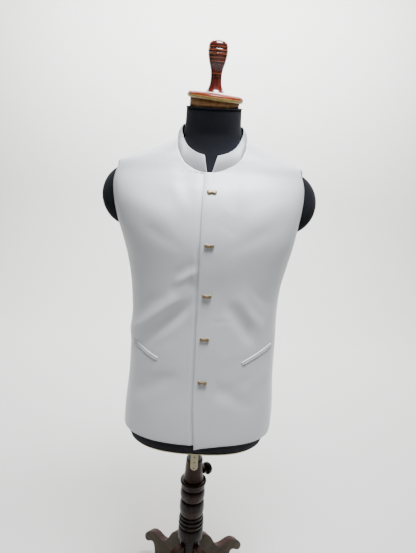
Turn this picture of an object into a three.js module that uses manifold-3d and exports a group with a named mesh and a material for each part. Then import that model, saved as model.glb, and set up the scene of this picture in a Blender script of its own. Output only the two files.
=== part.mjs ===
// A sleeveless bandhgala jacket buttoned on a limbless dress form with a turned wooden stand.
// Millimetres, +Z up. The jacket's front faces -Y, its wearer's left is +X. The origin is on the
// floor, on the axis of the stand.

import * as THREE from "three";
import { mergeVertices } from "three/addons/utils/BufferGeometryUtils.js";
import Module from "manifold-3d";

const wasm = await Module();
wasm.setup();

// Cloth and seams
const CLOTH_WALL = 2;
const SEAM_GAP = 0.3;
const HEM_Z = 548;
const SHOULDER_TIP_Z = 1194;
const FRONT_NECK_Z = 1172;
const SIDE_SEAM_ANGLE = 93;
const SHOULDER_SEAM_ANGLE = 78;

// Front opening: the left front laps over the right one
const PLACKET_EDGE_TOP_X = -13.5;
const PLACKET_EDGE_HEM_X = -10;
const CORNER_SWING = 8;
const UNDERLAP_X = 20;
const LAP_BLEND = { fromX: 34, toX: 80 };
const LAP_LIFT = CLOTH_WALL + 0.9;
const CORNER_DROP = 10;
const CORNER_DROP_SPAN = 62;

// Armholes: an upright oval about the shoulder cap, its top moved forward to the shoulder seam
const ARMHOLE_BOTTOM_Z = 998;
const ARMHOLE_HALF_HEIGHT = (SHOULDER_TIP_Z - ARMHOLE_BOTTOM_Z) / 2;
const ARMHOLE_FRONT_REACH = 51;
const ARMHOLE_BACK_REACH = 56;

// Stand collar
const COLLAR_WALL = 2.4;
const COLLAR_NOTCH_HALF_BOTTOM = 3.4;
const COLLAR_NOTCH_HALF_TOP = 14.5;
const COLLAR_TOP_HALF_WIDTH = 73;
const COLLAR_TOP_FRONT_Y = -72;
const COLLAR_TOP_BACK_Y = 60;
const COLLAR_BOW = 2.5;

// Buttons: small two-lobed metal bars
const BUTTON_HEIGHTS = [1129, 1017, 905, 805, 703];
const BUTTON_INSET = 19.5;
const BUTTON = { length: 21.5, lobe: 4.6, waist: 3.2, thick: 2.6, bevel: 1.2 };

// Welt pockets: two narrow strips one above the other, slanting down towards the centre front
const POCKET = { outerX: 168, outerZ: 784, innerX: 97, innerZ: 747, welt: 4.4, thick: 1.2 };

// Dress form
const FORM_BOTTOM_Z = 513;
const FORM_COLUMNS = 32;
const SHOULDER_DROP = 3.6;
const NECK_TOP = { z: 1325, y: -10, tilt: 14 };
const CAP_TILT = { side: 4.6, lift: 4.9 };
const NECK_ROOT = { inset: 3.9, drop: 4, depth: 26, hollow: 9 };
const SHOULDER_CAP = { x: 185, y: 1, z: 1116, rx: 73, ry: 45, rz: 75 };
const BASE_BOARD = { thick: 6, inset: 6 };

// Neck cap, along its own tilted axis
const PLUG = { radius: 57, top: 10 };
const DISC = { radius: 64, top: 25, round: 7 };
const FINIAL = { lift: 1.6, height: 104.5, lean: 1.3 };

// Height post, its perforated strap and the clamp
const POST_RADIUS = 19;
const POST_BOTTOM_Z = 242;
const BORE_RADIUS = 19.6;
const BORE_BOTTOM_Z = 234;
const STRAP = { halfWidth: 10, thick: 2, y: -25, bottomZ: 409, hole: 2.2, pitch: 16 };
const SOCKET = { bottomZ: 366.6, topZ: 428, bottomRadius: 27, topRadius: 22 };
const KNOB = { z: 379, turn: 40, shank: 4.6, bore: 5, tip: 20.2, neckAt: 30, headAt: 42, end: 58 };

// Stand
const RING = { bottomZ: 357.3, topZ: 366.3, radius: 35.5 };
const COLUMN = { bottomZ: 227.3, topZ: 357 };
const HUB = { bottomZ: 62, drumZ: 186, topZ: 227, radius: 29, drumRadius: 34.5 };
const LEG_COUNT = 4;
const LEG = { thick: 20, turn: 42, topZ: 174, rootZ: 66, footReach: 104 };

// Sections of the jacket's outer surface by height: the middle's place in x, half-width, depth
// in front of and behind the stand's axis, and how square the section is (2 is an ellipse). The
// first rows, under the hem, belong to the form alone.
const SECTIONS = [
  { z: 504, x: 0, half: 174, front: 119, back: 112, square: 2.4 },
  { z: 523, x: 0, half: 185, front: 129, back: 120, square: 2.4 },
  { z: 548, x: 1, half: 189, front: 135, back: 124, square: 2.4 },
  { z: 600, x: 3, half: 189, front: 133, back: 124, square: 2.4 },
  { z: 690, x: 4, half: 183, front: 127, back: 114, square: 2.4 },
  { z: 790, x: 4, half: 181, front: 124, back: 103, square: 2.4 },
  { z: 860, x: 4, half: 180, front: 123, back: 99, square: 2.4 },
  { z: 915, x: 4, half: 183, front: 126, back: 103, square: 2.5 },
  { z: 970, x: 5, half: 193, front: 132, back: 111, square: 2.6 },
  { z: 1020, x: 4, half: 204, front: 135, back: 117, square: 2.8 },
  { z: 1060, x: 1, half: 213, front: 132, back: 121, square: 2.9 },
  { z: 1100, x: -1, half: 221, front: 123, back: 122, square: 2.9 },
  { z: 1140, x: -2, half: 226, front: 104, back: 120, square: 2.9 },
  { z: 1172, x: -2, half: 226, front: 80, back: 113, square: 2.9 },
  { z: 1194, x: -1, half: 215, front: 69, back: 103, square: 3 },
  { z: 1207, x: 0, half: 189, front: 64, back: 95, square: 2.8 },
  { z: 1220, x: 0, half: 158, front: 58, back: 86, square: 2.4 },
  { z: 1236, x: 0, half: 119, front: 54, back: 76, square: 2.1 },
  { z: 1250, x: 0, half: 86, front: 52, back: 67, square: 2 },
  { z: 1262, x: 0, half: 77, front: 52, back: 62, square: 2 },
];

// How far the cloth stands off the form by height: it hangs from the shoulders
const EASE = [
  { z: 504, gap: 9 },
  { z: 560, gap: 8 },
  { z: 700, gap: 7 },
  { z: 860, gap: 10 },
  { z: 1000, gap: 5 },
  { z: 1100, gap: 3 },
  { z: 1160, gap: 6 },
  { z: 1194, gap: 11 },
  { z: 1207, gap: 2.5 },
  { z: 1262, gap: 1 },
];

// The neckline by angle from the centre front
const NECKLINE = [
  { angle: 0, z: 1171.6 },
  { angle: 1.2, z: 1173.5 },
  { angle: 2.9, z: 1178 },
  { angle: 5.7, z: 1187.5 },
  { angle: 10.4, z: 1201.5 },
  { angle: 21, z: 1217.5 },
  { angle: 41, z: 1237 },
  { angle: 60, z: 1247.5 },
  { angle: 90, z: 1254 },
  { angle: 130, z: 1258.5 },
  { angle: 180, z: 1261 },
];

// The collar's top edge by angle from the centre front
const COLLAR_TOP = [
  { angle: 0, z: 1208 },
  { angle: 28, z: 1218 },
  { angle: 50, z: 1235 },
  { angle: 67, z: 1257 },
  { angle: 90, z: 1281 },
  { angle: 130, z: 1297 },
  { angle: 180, z: 1303 },
];

// The form's neck above the shoulders: half-width, half-depth, the centre's place in y and
// how far the section leans forward
const NECK_SECTIONS = [
  { z: 1262, half: 70, depth: 56, y: 3, tilt: 3 },
  { z: 1274, half: 66.5, depth: 56, y: 0, tilt: 6 },
  { z: 1296, half: 64.5, depth: 56, y: -5, tilt: 10 },
  { z: NECK_TOP.z, half: 63.5, depth: 57, y: NECK_TOP.y, tilt: NECK_TOP.tilt },
];

// The largest folds of each front: a soft ridge or hollow (minus) from one place to another
const RIGHT_FRONT_FOLDS = [
  { fromX: -50, fromZ: 905, toX: -160, toZ: 800, width: 15, depth: 5 },
  { fromX: -40, fromZ: 868, toX: -150, toZ: 765, width: 15, depth: -4.5 },
  { fromX: -20, fromZ: 925, toX: -62, toZ: 915, width: 10, depth: 3 },
  { fromX: -62, fromZ: 706, toX: -150, toZ: 655, width: 17, depth: -3.5 },
  { fromX: -80, fromZ: 1065, toX: -170, toZ: 1115, width: 26, depth: 3.5 },
];
const LEFT_FRONT_FOLDS = [
  { fromX: 78, fromZ: 905, toX: 128, toZ: 838, width: 13, depth: 4 },
  { fromX: 60, fromZ: 880, toX: 120, toZ: 800, width: 15, depth: -3.5 },
  { fromX: 40, fromZ: 690, toX: 120, toZ: 640, width: 18, depth: -3 },
  { fromX: 90, fromZ: 1065, toX: 172, toZ: 1120, width: 26, depth: 3.5 },
];
const BACK_FOLDS = [
  { fromX: -110, fromZ: 880, toX: 60, toZ: 800, width: 18, depth: 4 },
  { fromX: 120, fromZ: 850, toX: -30, toZ: 740, width: 18, depth: -4 },
  { fromX: -150, fromZ: 800, toX: -70, toZ: 720, width: 16, depth: 3 },
  { fromX: 70, fromZ: 1010, toX: 160, toZ: 1090, width: 22, depth: 3 },
  { fromX: -70, fromZ: 1010, toX: -160, toZ: 1090, width: 22, depth: 3 },
];

// A leg's outline from its top at the hub to its foot: each curve's two guide points and its end,
// by reach from the stand's axis and by height
const LEG_CURVES = [
  { outA: 47, upA: 174, outB: 64, upB: 163, out: 73, up: 148 },
  { outA: 89, upA: 121, outB: 96, upB: 93, out: 130, up: 91 },
  { outA: 150, upA: 91, outB: 162, upB: 93, out: 178, up: 82 },
  { outA: 200, upA: 68, outB: 214, upB: 46, out: 204, up: 38 },
  { outA: 194, upA: 30, outB: 182, upB: 50, out: 165, up: 55 },
  { outA: 154, upA: 53, outB: 150, upB: 30, out: 150, up: 0 },
];

const CLOTH = new THREE.MeshStandardMaterial({ color: 0xd3d6da, roughness: 0.55, metalness: 0 });
const JERSEY = new THREE.MeshStandardMaterial({ color: 0x1b1d26, roughness: 0.9, metalness: 0 });
const GOLD = new THREE.MeshStandardMaterial({ color: 0x96804a, roughness: 0.4, metalness: 1 });
const LACQUER = new THREE.MeshStandardMaterial({ color: 0x6e2414, roughness: 0.2, metalness: 0 });
const RAW_WOOD = new THREE.MeshStandardMaterial({ color: 0xb48a58, roughness: 0.6, metalness: 0 });
const DARK_WOOD = new THREE.MeshStandardMaterial({ color: 0x2b211b, roughness: 0.35, metalness: 0 });
const LEG_WOOD = new THREE.MeshStandardMaterial({ color: 0x554e41, roughness: 0.5, metalness: 0 });
const STEEL = new THREE.MeshStandardMaterial({ color: 0x55575a, roughness: 0.35, metalness: 1 });
const CREAM = new THREE.MeshStandardMaterial({ color: 0xb0aa86, roughness: 0.6, metalness: 0 });

const model = new THREE.Group();

function radians(degrees) {
  return (degrees * Math.PI) / 180;
}

function smoothStep(low, high, value) {
  const t = THREE.MathUtils.clamp((value - low) / (high - low), 0, 1);
  return t * t * (3 - 2 * t);
}

// Reads one column of a table at a place along its key, on a smooth curve through the rows
function read(table, key, place, column) {
  const last = table.length - 1;
  let i = 0;
  while (i < last - 1 && place > table[i + 1][key]) {
    i += 1;
  }
  const slope = (m) => {
    const before = table[Math.max(m - 1, 0)];
    const after = table[Math.min(m + 1, last)];
    return (after[column] - before[column]) / (after[key] - before[key]);
  };
  const span = table[i + 1][key] - table[i][key];
  const t = THREE.MathUtils.clamp((place - table[i][key]) / span, 0, 1);
  const low = table[i][column];
  const high = table[i + 1][column];
  const rise = (2 * t * t * t - 3 * t * t + 1) * low + (3 * t * t - 2 * t * t * t) * high;
  const lean = (t * t * t - 2 * t * t + t) * slope(i) + (t * t * t - t * t) * slope(i + 1);
  return rise + lean * span;
}

// A point of the jacket's outer surface at a height and a signed angle from the centre front
function surface(z, degrees) {
  const power = 2 / read(SECTIONS, "z", z, "square");
  const side = Math.sin(radians(degrees));
  const ahead = Math.cos(radians(degrees));
  const depth = read(SECTIONS, "z", z, ahead > 0 ? "front" : "back");
  const reach = Math.sign(side) * read(SECTIONS, "z", z, "half") * Math.abs(side) ** power;
  const x = read(SECTIONS, "z", z, "x") + reach;
  const y = -Math.sign(ahead) * depth * Math.abs(ahead) ** power;
  return new THREE.Vector3(x, y, z);
}

function surfaceNormal(z, degrees) {
  const along = surface(z, degrees + 1).sub(surface(z, degrees - 1));
  const top = SECTIONS[SECTIONS.length - 1].z;
  const up = surface(Math.min(z + 3, top), degrees).sub(surface(z - 3, degrees));
  return along.cross(up).normalize();
}

function movedOut(z, degrees, distance) {
  return surface(z, degrees).addScaledVector(surfaceNormal(z, degrees), distance);
}

// The signed angle at which the front or back of a section has a given x or y
function angleAtX(z, x) {
  const reach = x - read(SECTIONS, "z", z, "x");
  const share = THREE.MathUtils.clamp(Math.abs(reach) / read(SECTIONS, "z", z, "half"), 0, 1);
  const angle = Math.asin(share ** (read(SECTIONS, "z", z, "square") / 2));
  return Math.sign(reach) * THREE.MathUtils.radToDeg(angle);
}

function angleAtY(z, y) {
  const depth = read(SECTIONS, "z", z, y < 0 ? "front" : "back");
  const share = THREE.MathUtils.clamp(Math.abs(y) / depth, 0, 1);
  const angle = Math.acos(share ** (read(SECTIONS, "z", z, "square") / 2));
  const degrees = THREE.MathUtils.radToDeg(angle);
  return y < 0 ? degrees : 180 - degrees;
}

function necklineZ(degrees) {
  return read(NECKLINE, "angle", Math.min(Math.abs(degrees), 360 - Math.abs(degrees)), "z");
}

// The neckline's angle at a height, found by halving
function necklineAngle(z) {
  let low = 0;
  let high = SHOULDER_SEAM_ANGLE;
  for (let i = 0; i < 30; i += 1) {
    const middle = (low + high) / 2;
    if (necklineZ(middle) < z) {
      low = middle;
    } else {
      high = middle;
    }
  }
  return low;
}

// Where a front (side -1) or the back (side 1) ends at a height: the side seam, then the
// armhole's edge, then the shoulder seam
function panelEdgeAngle(z, side) {
  if (z <= ARMHOLE_BOTTOM_Z) {
    return SIDE_SEAM_ANGLE;
  }
  if (z >= SHOULDER_TIP_Z) {
    return SHOULDER_SEAM_ANGLE;
  }
  const t = (z - ARMHOLE_BOTTOM_Z) / ARMHOLE_HALF_HEIGHT - 1;
  const open = Math.sqrt(1 - t * t);
  const bottomY = surface(ARMHOLE_BOTTOM_Z, SIDE_SEAM_ANGLE).y;
  const topY = surface(SHOULDER_TIP_Z, SHOULDER_SEAM_ANGLE).y;
  const middle = THREE.MathUtils.lerp(bottomY, topY, ((t + 1) / 2) ** 4);
  const reach = side < 0 ? ARMHOLE_FRONT_REACH : ARMHOLE_BACK_REACH;
  return angleAtY(z, middle + side * reach * open);
}

// How far the folds move a point of a panel out
function foldLift(folds, point) {
  let lift = 0;
  for (const fold of folds) {
    const from = new THREE.Vector2(fold.fromX, fold.fromZ);
    const line = new THREE.Vector2(fold.toX, fold.toZ).sub(from);
    const place = new THREE.Vector2(point.x, point.z).sub(from);
    const along = place.dot(line) / line.lengthSq();
    const across = place.addScaledVector(line, -along).length() / fold.width;
    const ends = smoothStep(-0.35, 0.25, along) * (1 - smoothStep(0.75, 1.35, along));
    lift += fold.depth * Math.exp(-across * across) * ends;
  }
  return lift;
}

function geometryFrom(points, triangles) {
  const geometry = new THREE.BufferGeometry();
  const numbers = points.flatMap((point) => [point.x, point.y, point.z]);
  geometry.setAttribute("position", new THREE.Float32BufferAttribute(numbers, 3));
  geometry.setIndex(triangles);
  geometry.computeVertexNormals();
  return geometry;
}

// A closed wall between two grids of points with equal rows and columns, the outer one first.
// Seen from outside, a row runs from left to right and the rows go up.
function wallBetween(outer, inner) {
  const rows = outer.length;
  const columns = outer[0].length;
  const points = [...outer.flat(), ...inner.flat()];
  const behind = rows * columns;
  const triangles = [];
  const at = (row, column) => row * columns + column;
  const face = (a, b, c, d) => {
    triangles.push(a, b, c, a, c, d);
  };
  for (let r = 0; r < rows - 1; r += 1) {
    for (let c = 0; c < columns - 1; c += 1) {
      const corners = [at(r, c), at(r, c + 1), at(r + 1, c + 1), at(r + 1, c)];
      face(...corners);
      face(...corners.reverse().map((corner) => corner + behind));
    }
  }
  const rim = [];
  for (let c = 0; c < columns - 1; c += 1) {
    rim.push(at(0, c));
  }
  for (let r = 0; r < rows - 1; r += 1) {
    rim.push(at(r, columns - 1));
  }
  for (let c = columns - 1; c > 0; c -= 1) {
    rim.push(at(rows - 1, c));
  }
  for (let r = rows - 1; r > 0; r -= 1) {
    rim.push(at(r, 0));
  }
  rim.forEach((corner, i) => {
    const next = rim[(i + 1) % rim.length];
    face(next, corner, corner + behind, next + behind);
  });
  return geometryFrom(points, triangles);
}

function addPiece(name, geometry, material) {
  const mesh = new THREE.Mesh(geometry, material);
  mesh.name = name;
  model.add(mesh);
  return mesh;
}

function toSolid(geometry) {
  const bare = geometry.clone();
  bare.deleteAttribute("normal");
  bare.deleteAttribute("uv");
  const merged = mergeVertices(bare, 1e-3);
  const vertProperties = new Float32Array(merged.attributes.position.array);
  const triVerts = new Uint32Array(merged.index.array);
  return new wasm.Manifold(new wasm.Mesh({ numProp: 3, vertProperties, triVerts }));
}

function fromSolid(solid) {
  const mesh = solid.getMesh();
  const geometry = new THREE.BufferGeometry();
  geometry.setAttribute("position", new THREE.BufferAttribute(mesh.vertProperties, 3));
  geometry.setIndex(new THREE.BufferAttribute(mesh.triVerts, 1));
  geometry.computeVertexNormals();
  return geometry;
}

// Heights of a panel's rows, closer together round the armhole and on the shoulder
function rowHeights(top) {
  const bands = [
    { from: HEM_Z, to: ARMHOLE_BOTTOM_Z, steps: 15 },
    { from: ARMHOLE_BOTTOM_Z, to: FRONT_NECK_Z, steps: 10 },
    { from: FRONT_NECK_Z, to: SHOULDER_TIP_Z, steps: 2 },
    { from: SHOULDER_TIP_Z, to: top, steps: 4 },
  ];
  const heights = [HEM_Z];
  for (const band of bands) {
    for (let i = 1; i <= band.steps; i += 1) {
      heights.push(THREE.MathUtils.lerp(band.from, band.to, i / band.steps));
    }
  }
  return heights;
}

// Half a seam's gap as an angle at a place on the surface
function seamTurn(z, degrees) {
  const perDegree = surface(z, degrees).distanceTo(surface(z, degrees + 1));
  return SEAM_GAP / 2 / perDegree;
}

// The left front's edge: nearly plumb, its lower corner swung out a little
function placketEdgeX(z) {
  const t = (z - HEM_Z) / (FRONT_NECK_Z - HEM_Z);
  const swing = CORNER_SWING * (1 - smoothStep(HEM_Z - CORNER_DROP, HEM_Z + 100, z));
  return THREE.MathUtils.lerp(PLACKET_EDGE_HEM_X, PLACKET_EDGE_TOP_X, t) + swing;
}

// How far the left front stands off where it laps over the right one
function lapLift(side, x) {
  return side > 0 ? LAP_LIFT * (1 - smoothStep(LAP_BLEND.fromX, LAP_BLEND.toX, x)) : 0;
}

// The outer face of a front, with its lap and folds; share is 0 at the centre, 1 at the side
function frontLift(side, folds, z, degrees, share) {
  const point = surface(z, degrees);
  const edgeX = side > 0 ? placketEdgeX(z) : UNDERLAP_X;
  const offLap = smoothStep(36, 62, side * (point.x - edgeX));
  const atSeam = smoothStep(0.9, 1, share);
  return lapLift(side, point.x) + foldLift(folds, point) * offLap * (1 - atSeam);
}

// A front panel, side 1 for the wearer's left and -1 for the right
function frontPanel(side, folds) {
  const columns = 13;
  const neckSide = SHOULDER_SEAM_ANGLE - 9;
  const outer = [];
  const inner = [];
  for (const height of rowHeights(necklineZ(SHOULDER_SEAM_ANGLE))) {
    const edgeX = side > 0 ? placketEdgeX(height) : UNDERLAP_X;
    const onNeckline = side * Math.min(necklineAngle(height), neckSide);
    const start = height <= FRONT_NECK_Z ? angleAtX(height, edgeX) : onNeckline;
    const edge = panelEdgeAngle(height, -1);
    const end = side * (edge - seamTurn(height, edge));
    const outerRow = [];
    const innerRow = [];
    for (let c = 0; c < columns; c += 1) {
      const share = c / (columns - 1);
      const degrees = THREE.MathUtils.lerp(start, end, share);
      let z = Math.min(height, necklineZ(degrees));
      if (height <= FRONT_NECK_Z) {
        z = height;
      }
      const x = surface(z, degrees).x;
      if (side > 0) {
        const corner = Math.max(0, 1 - (x - placketEdgeX(z)) / CORNER_DROP_SPAN);
        z -= CORNER_DROP * corner * corner * (1 - smoothStep(HEM_Z, HEM_Z + 90, z));
      }
      const lift = frontLift(side, folds, z, degrees, share);
      outerRow.push(movedOut(z, degrees, lift));
      innerRow.push(movedOut(z, degrees, lift - CLOTH_WALL));
    }
    outer.push(side > 0 ? outerRow : outerRow.reverse());
    inner.push(side > 0 ? innerRow : innerRow.reverse());
  }
  return wallBetween(outer, inner);
}

// The back panel: its top row is the neckline, and its ends are the side seams, the armholes
// and the shoulder seams, which lie in front of the shoulder's ridge
function backPanel() {
  const columns = 21;
  const neckSideZ = necklineZ(SHOULDER_SEAM_ANGLE);
  const outer = [];
  const inner = [];
  for (const height of rowHeights(neckSideZ)) {
    const edge = panelEdgeAngle(height, 1);
    const start = edge + seamTurn(height, edge);
    const rise = smoothStep(SHOULDER_TIP_Z - 90, neckSideZ, height);
    const outerRow = [];
    const innerRow = [];
    for (let c = 0; c < columns; c += 1) {
      const share = c / (columns - 1);
      const degrees = THREE.MathUtils.lerp(start, 360 - start, share);
      const z = height + (necklineZ(degrees) - neckSideZ) * rise;
      const offSeams = smoothStep(0, 0.08, share) * smoothStep(0, 0.08, 1 - share);
      const lift = foldLift(BACK_FOLDS, surface(z, degrees)) * offSeams;
      outerRow.push(movedOut(z, degrees, lift));
      innerRow.push(movedOut(z, degrees, lift - CLOTH_WALL));
    }
    outer.push(outerRow);
    inner.push(innerRow);
  }
  return wallBetween(outer, inner);
}

// The neckline's point that lies in a given direction from the axis, found by halving
function necklineTowards(direction) {
  const folded = direction > 180 ? 360 - direction : direction;
  let low = 0;
  let high = 180;
  for (let i = 0; i < 30; i += 1) {
    const middle = (low + high) / 2;
    const point = surface(necklineZ(middle), middle);
    if (THREE.MathUtils.radToDeg(Math.atan2(point.x, -point.y)) < folded) {
      low = middle;
    } else {
      high = middle;
    }
  }
  const angle = direction > 180 ? 360 - low : low;
  return surface(necklineZ(angle), angle);
}

function collarTopPoint(degrees) {
  const middleY = (COLLAR_TOP_FRONT_Y + COLLAR_TOP_BACK_Y) / 2;
  const halfDepth = (COLLAR_TOP_BACK_Y - COLLAR_TOP_FRONT_Y) / 2;
  const x = COLLAR_TOP_HALF_WIDTH * Math.sin(radians(degrees));
  const y = middleY - halfDepth * Math.cos(radians(degrees));
  return new THREE.Vector3(x, y, read(COLLAR_TOP, "angle", Math.min(degrees, 360 - degrees), "z"));
}

// The stand collar: a band from one side of the front notch round the back to the other,
// leaning in towards the neck and slightly bowed. Grown by a gap, it trims the neckline edges.
function standCollar(grow) {
  const columns = 37;
  const rows = 4;
  const frontDepth = -surface(FRONT_NECK_Z, 0).y;
  const startBottom = THREE.MathUtils.radToDeg(Math.atan(COLLAR_NOTCH_HALF_BOTTOM / frontDepth));
  const startTop = THREE.MathUtils.radToDeg(Math.asin(COLLAR_NOTCH_HALF_TOP / COLLAR_TOP_HALF_WIDTH));
  const outer = [];
  const inner = [];
  for (let r = 0; r < rows; r += 1) {
    const outerRow = [];
    const innerRow = [];
    for (let c = 0; c < columns; c += 1) {
      const share = c / (columns - 1);
      const direction = THREE.MathUtils.lerp(startBottom, 360 - startBottom, share);
      const low = necklineTowards(direction);
      const top = collarTopPoint(THREE.MathUtils.lerp(startTop, 360 - startTop, share));
      const up = top.clone().sub(low).normalize();
      const out = new THREE.Vector3(Math.sin(radians(direction)), -Math.cos(radians(direction)), 0);
      const outward = out.addScaledVector(up, -out.dot(up)).normalize();
      const base = low.addScaledVector(up, 2 * SEAM_GAP - grow);
      const rise = r / (rows - 1);
      const bow = COLLAR_BOW * Math.sin(Math.PI * rise);
      const point = base.lerp(top, rise).addScaledVector(outward, bow + grow);
      outerRow.push(point);
      innerRow.push(point.clone().addScaledVector(outward, -COLLAR_WALL - 2 * grow));
    }
    outer.push(outerRow);
    inner.push(innerRow);
  }
  return wallBetween(outer, inner);
}

// One welt of a pocket: a narrow strip laid on the front, along a slanted line. Grown by a gap,
// it makes its own seat in the front.
function pocketWelt(side, folds, place, grow) {
  const steps = 12;
  const line = new THREE.Vector2(POCKET.innerX - POCKET.outerX, POCKET.innerZ - POCKET.outerZ);
  const across = new THREE.Vector2(-line.y, line.x).normalize();
  const upward = across.y > 0 ? 1 : -1;
  const outer = [];
  const inner = [];
  for (const edge of [0, 1]) {
    const middle = place * (SEAM_GAP / 2 + POCKET.welt / 2);
    const distance = middle + (edge - 0.5) * (POCKET.welt + 2 * grow);
    const outerRow = [];
    const innerRow = [];
    for (let i = 0; i <= steps; i += 1) {
      const share = THREE.MathUtils.lerp(-grow, line.length() + grow, i / steps) / line.length();
      const x = POCKET.outerX + line.x * share + across.x * upward * distance;
      const z = POCKET.outerZ + line.y * share + across.y * upward * distance;
      const degrees = angleAtX(z, side * x);
      const edgeAngle = panelEdgeAngle(z, -1);
      const start = angleAtX(z, side > 0 ? placketEdgeX(z) : UNDERLAP_X);
      const panelShare = (degrees - start) / (side * edgeAngle - start);
      const lift = frontLift(side, folds, z, degrees, panelShare) + SEAM_GAP;
      innerRow.push(movedOut(z, degrees, lift - grow));
      outerRow.push(movedOut(z, degrees, lift + POCKET.thick + grow));
    }
    outer.push(side > 0 ? outerRow.reverse() : outerRow);
    inner.push(side > 0 ? innerRow.reverse() : innerRow);
  }
  return wallBetween(outer, inner);
}

// A metal bar with two round lobes and a waist, lying level, its back just off the cloth
function barButton(z) {
  const reach = BUTTON.length / 2 - BUTTON.lobe;
  const outline = new THREE.Shape();
  const dip = radians(55);
  outline.absarc(reach, 0, BUTTON.lobe - BUTTON.bevel, -Math.PI + dip, Math.PI - dip);
  outline.quadraticCurveTo(0, BUTTON.waist - BUTTON.bevel, -reach + 2, BUTTON.lobe - BUTTON.bevel - 0.6);
  outline.absarc(-reach, 0, BUTTON.lobe - BUTTON.bevel, dip, 2 * Math.PI - dip);
  outline.quadraticCurveTo(0, -BUTTON.waist + BUTTON.bevel, reach - 2, -BUTTON.lobe + BUTTON.bevel + 0.6);
  const geometry = new THREE.ExtrudeGeometry(outline, {
    depth: BUTTON.thick,
    bevelEnabled: true,
    bevelThickness: BUTTON.bevel,
    bevelSize: BUTTON.bevel,
    bevelSegments: 1,
    curveSegments: 4,
  });
  const x = placketEdgeX(z) + BUTTON_INSET;
  const degrees = angleAtX(z, x);
  const normal = surfaceNormal(z, degrees);
  const seat = movedOut(z, degrees, LAP_LIFT + 2 * SEAM_GAP + BUTTON.bevel);
  const across = new THREE.Vector3(0, 0, 1).cross(normal).normalize();
  const frame = new THREE.Matrix4().makeBasis(across, normal.clone().cross(across), normal);
  return { geometry, seat, turn: new THREE.Quaternion().setFromRotationMatrix(frame) };
}

// A closed body through rings of equal length, the lowest first, each running anticlockwise
// seen from above
function ringStack(rings) {
  const count = rings[0].length;
  const points = rings.flat();
  const triangles = [];
  for (let r = 0; r < rings.length - 1; r += 1) {
    for (let c = 0; c < count; c += 1) {
      const next = (c + 1) % count;
      const low = r * count;
      const high = low + count;
      triangles.push(low + c, low + next, high + next);
      triangles.push(low + c, high + next, high + c);
    }
  }
  const middleOf = (ring) => {
    const sum = ring.reduce((total, point) => total.add(point), new THREE.Vector3());
    return sum.divideScalar(count);
  };
  const bottom = points.length;
  points.push(middleOf(rings[0]), middleOf(rings[rings.length - 1]));
  const lastRing = (rings.length - 1) * count;
  for (let c = 0; c < count; c += 1) {
    const next = (c + 1) % count;
    triangles.push(bottom, next, c);
    triangles.push(bottom + 1, lastRing + c, lastRing + next);
  }
  return geometryFrom(points, triangles);
}

// A ring of the form under the cloth: the cloth's section, drawn in by its wall and its ease
function formRing(z) {
  const inset = CLOTH_WALL + read(EASE, "z", z, "gap");
  const drop = SHOULDER_DROP * smoothStep(FRONT_NECK_Z - 20, SHOULDER_TIP_Z, z);
  const ring = [];
  for (let c = 0; c < FORM_COLUMNS; c += 1) {
    const degrees = (c * 360) / FORM_COLUMNS;
    const level = surfaceNormal(z, degrees).setZ(0).normalize();
    const point = surface(z, degrees).addScaledVector(level, -inset);
    point.z -= drop;
    ring.push(point);
  }
  return ring;
}

// The neckline drawn in towards the axis and lowered, as a ring of the form
function ringInNeckline(inset, drop) {
  const ring = [];
  for (let c = 0; c < FORM_COLUMNS; c += 1) {
    const degrees = (c * 360) / FORM_COLUMNS;
    const point = necklineTowards(degrees);
    point.x -= inset * Math.sin(radians(degrees));
    point.y += inset * Math.cos(radians(degrees));
    point.z -= drop;
    ring.push(point);
  }
  return ring;
}

function neckRing(section) {
  const ring = [];
  for (let c = 0; c < FORM_COLUMNS; c += 1) {
    const turn = (c * 2 * Math.PI) / FORM_COLUMNS;
    const y = -section.depth * Math.cos(turn);
    const z = section.z + y * Math.tan(radians(section.tilt));
    ring.push(new THREE.Vector3(section.half * Math.sin(turn), section.y + y, z));
  }
  return ring;
}

// The neck from inside the neckline up: it curves in at once, so that the collar stands clear
function neckRings() {
  const root = ringInNeckline(NECK_ROOT.inset, NECK_ROOT.drop);
  const first = neckRing(NECK_SECTIONS[0]);
  const rings = [ringInNeckline(NECK_ROOT.inset + 2, NECK_ROOT.depth), root];
  for (const share of [0.3, 0.6]) {
    const curve = NECK_ROOT.hollow * Math.sin(Math.PI * share);
    rings.push(root.map((point, c) => {
      const between = point.clone().lerp(first[c], share);
      const reach = Math.hypot(between.x, between.y);
      between.x *= 1 - curve / reach;
      between.y *= 1 - curve / reach;
      return between;
    }));
  }
  return [...rings, ...NECK_SECTIONS.map(neckRing)];
}

// Torso, neck and the two rounded shoulder caps under one jersey cover
function formBody() {
  const heights = [FORM_BOTTOM_Z, 520, 532, 552];
  for (let z = 590; z < FRONT_NECK_Z - 20; z += 62) {
    heights.push(z);
  }
  heights.push(1172, 1194, 1202, 1214, 1230, 1248);
  const aboveNeckline = [ringInNeckline(NECK_ROOT.inset, NECK_ROOT.drop)];
  aboveNeckline.push(aboveNeckline[0].map((point) => new THREE.Vector3(point.x, point.y, NECK_TOP.z)));
  let solid = toSolid(ringStack(heights.map(formRing)));
  solid = solid.subtract(toSolid(ringStack(aboveNeckline)));
  solid = solid.add(toSolid(ringStack(neckRings())));
  for (const side of [-1, 1]) {
    const dome = new THREE.SphereGeometry(1, 14, 10);
    dome.scale(SHOULDER_CAP.rx, SHOULDER_CAP.ry, SHOULDER_CAP.rz);
    dome.translate(side * SHOULDER_CAP.x, SHOULDER_CAP.y, SHOULDER_CAP.z);
    solid = solid.add(toSolid(dome));
  }
  return fromSolid(solid);
}

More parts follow.
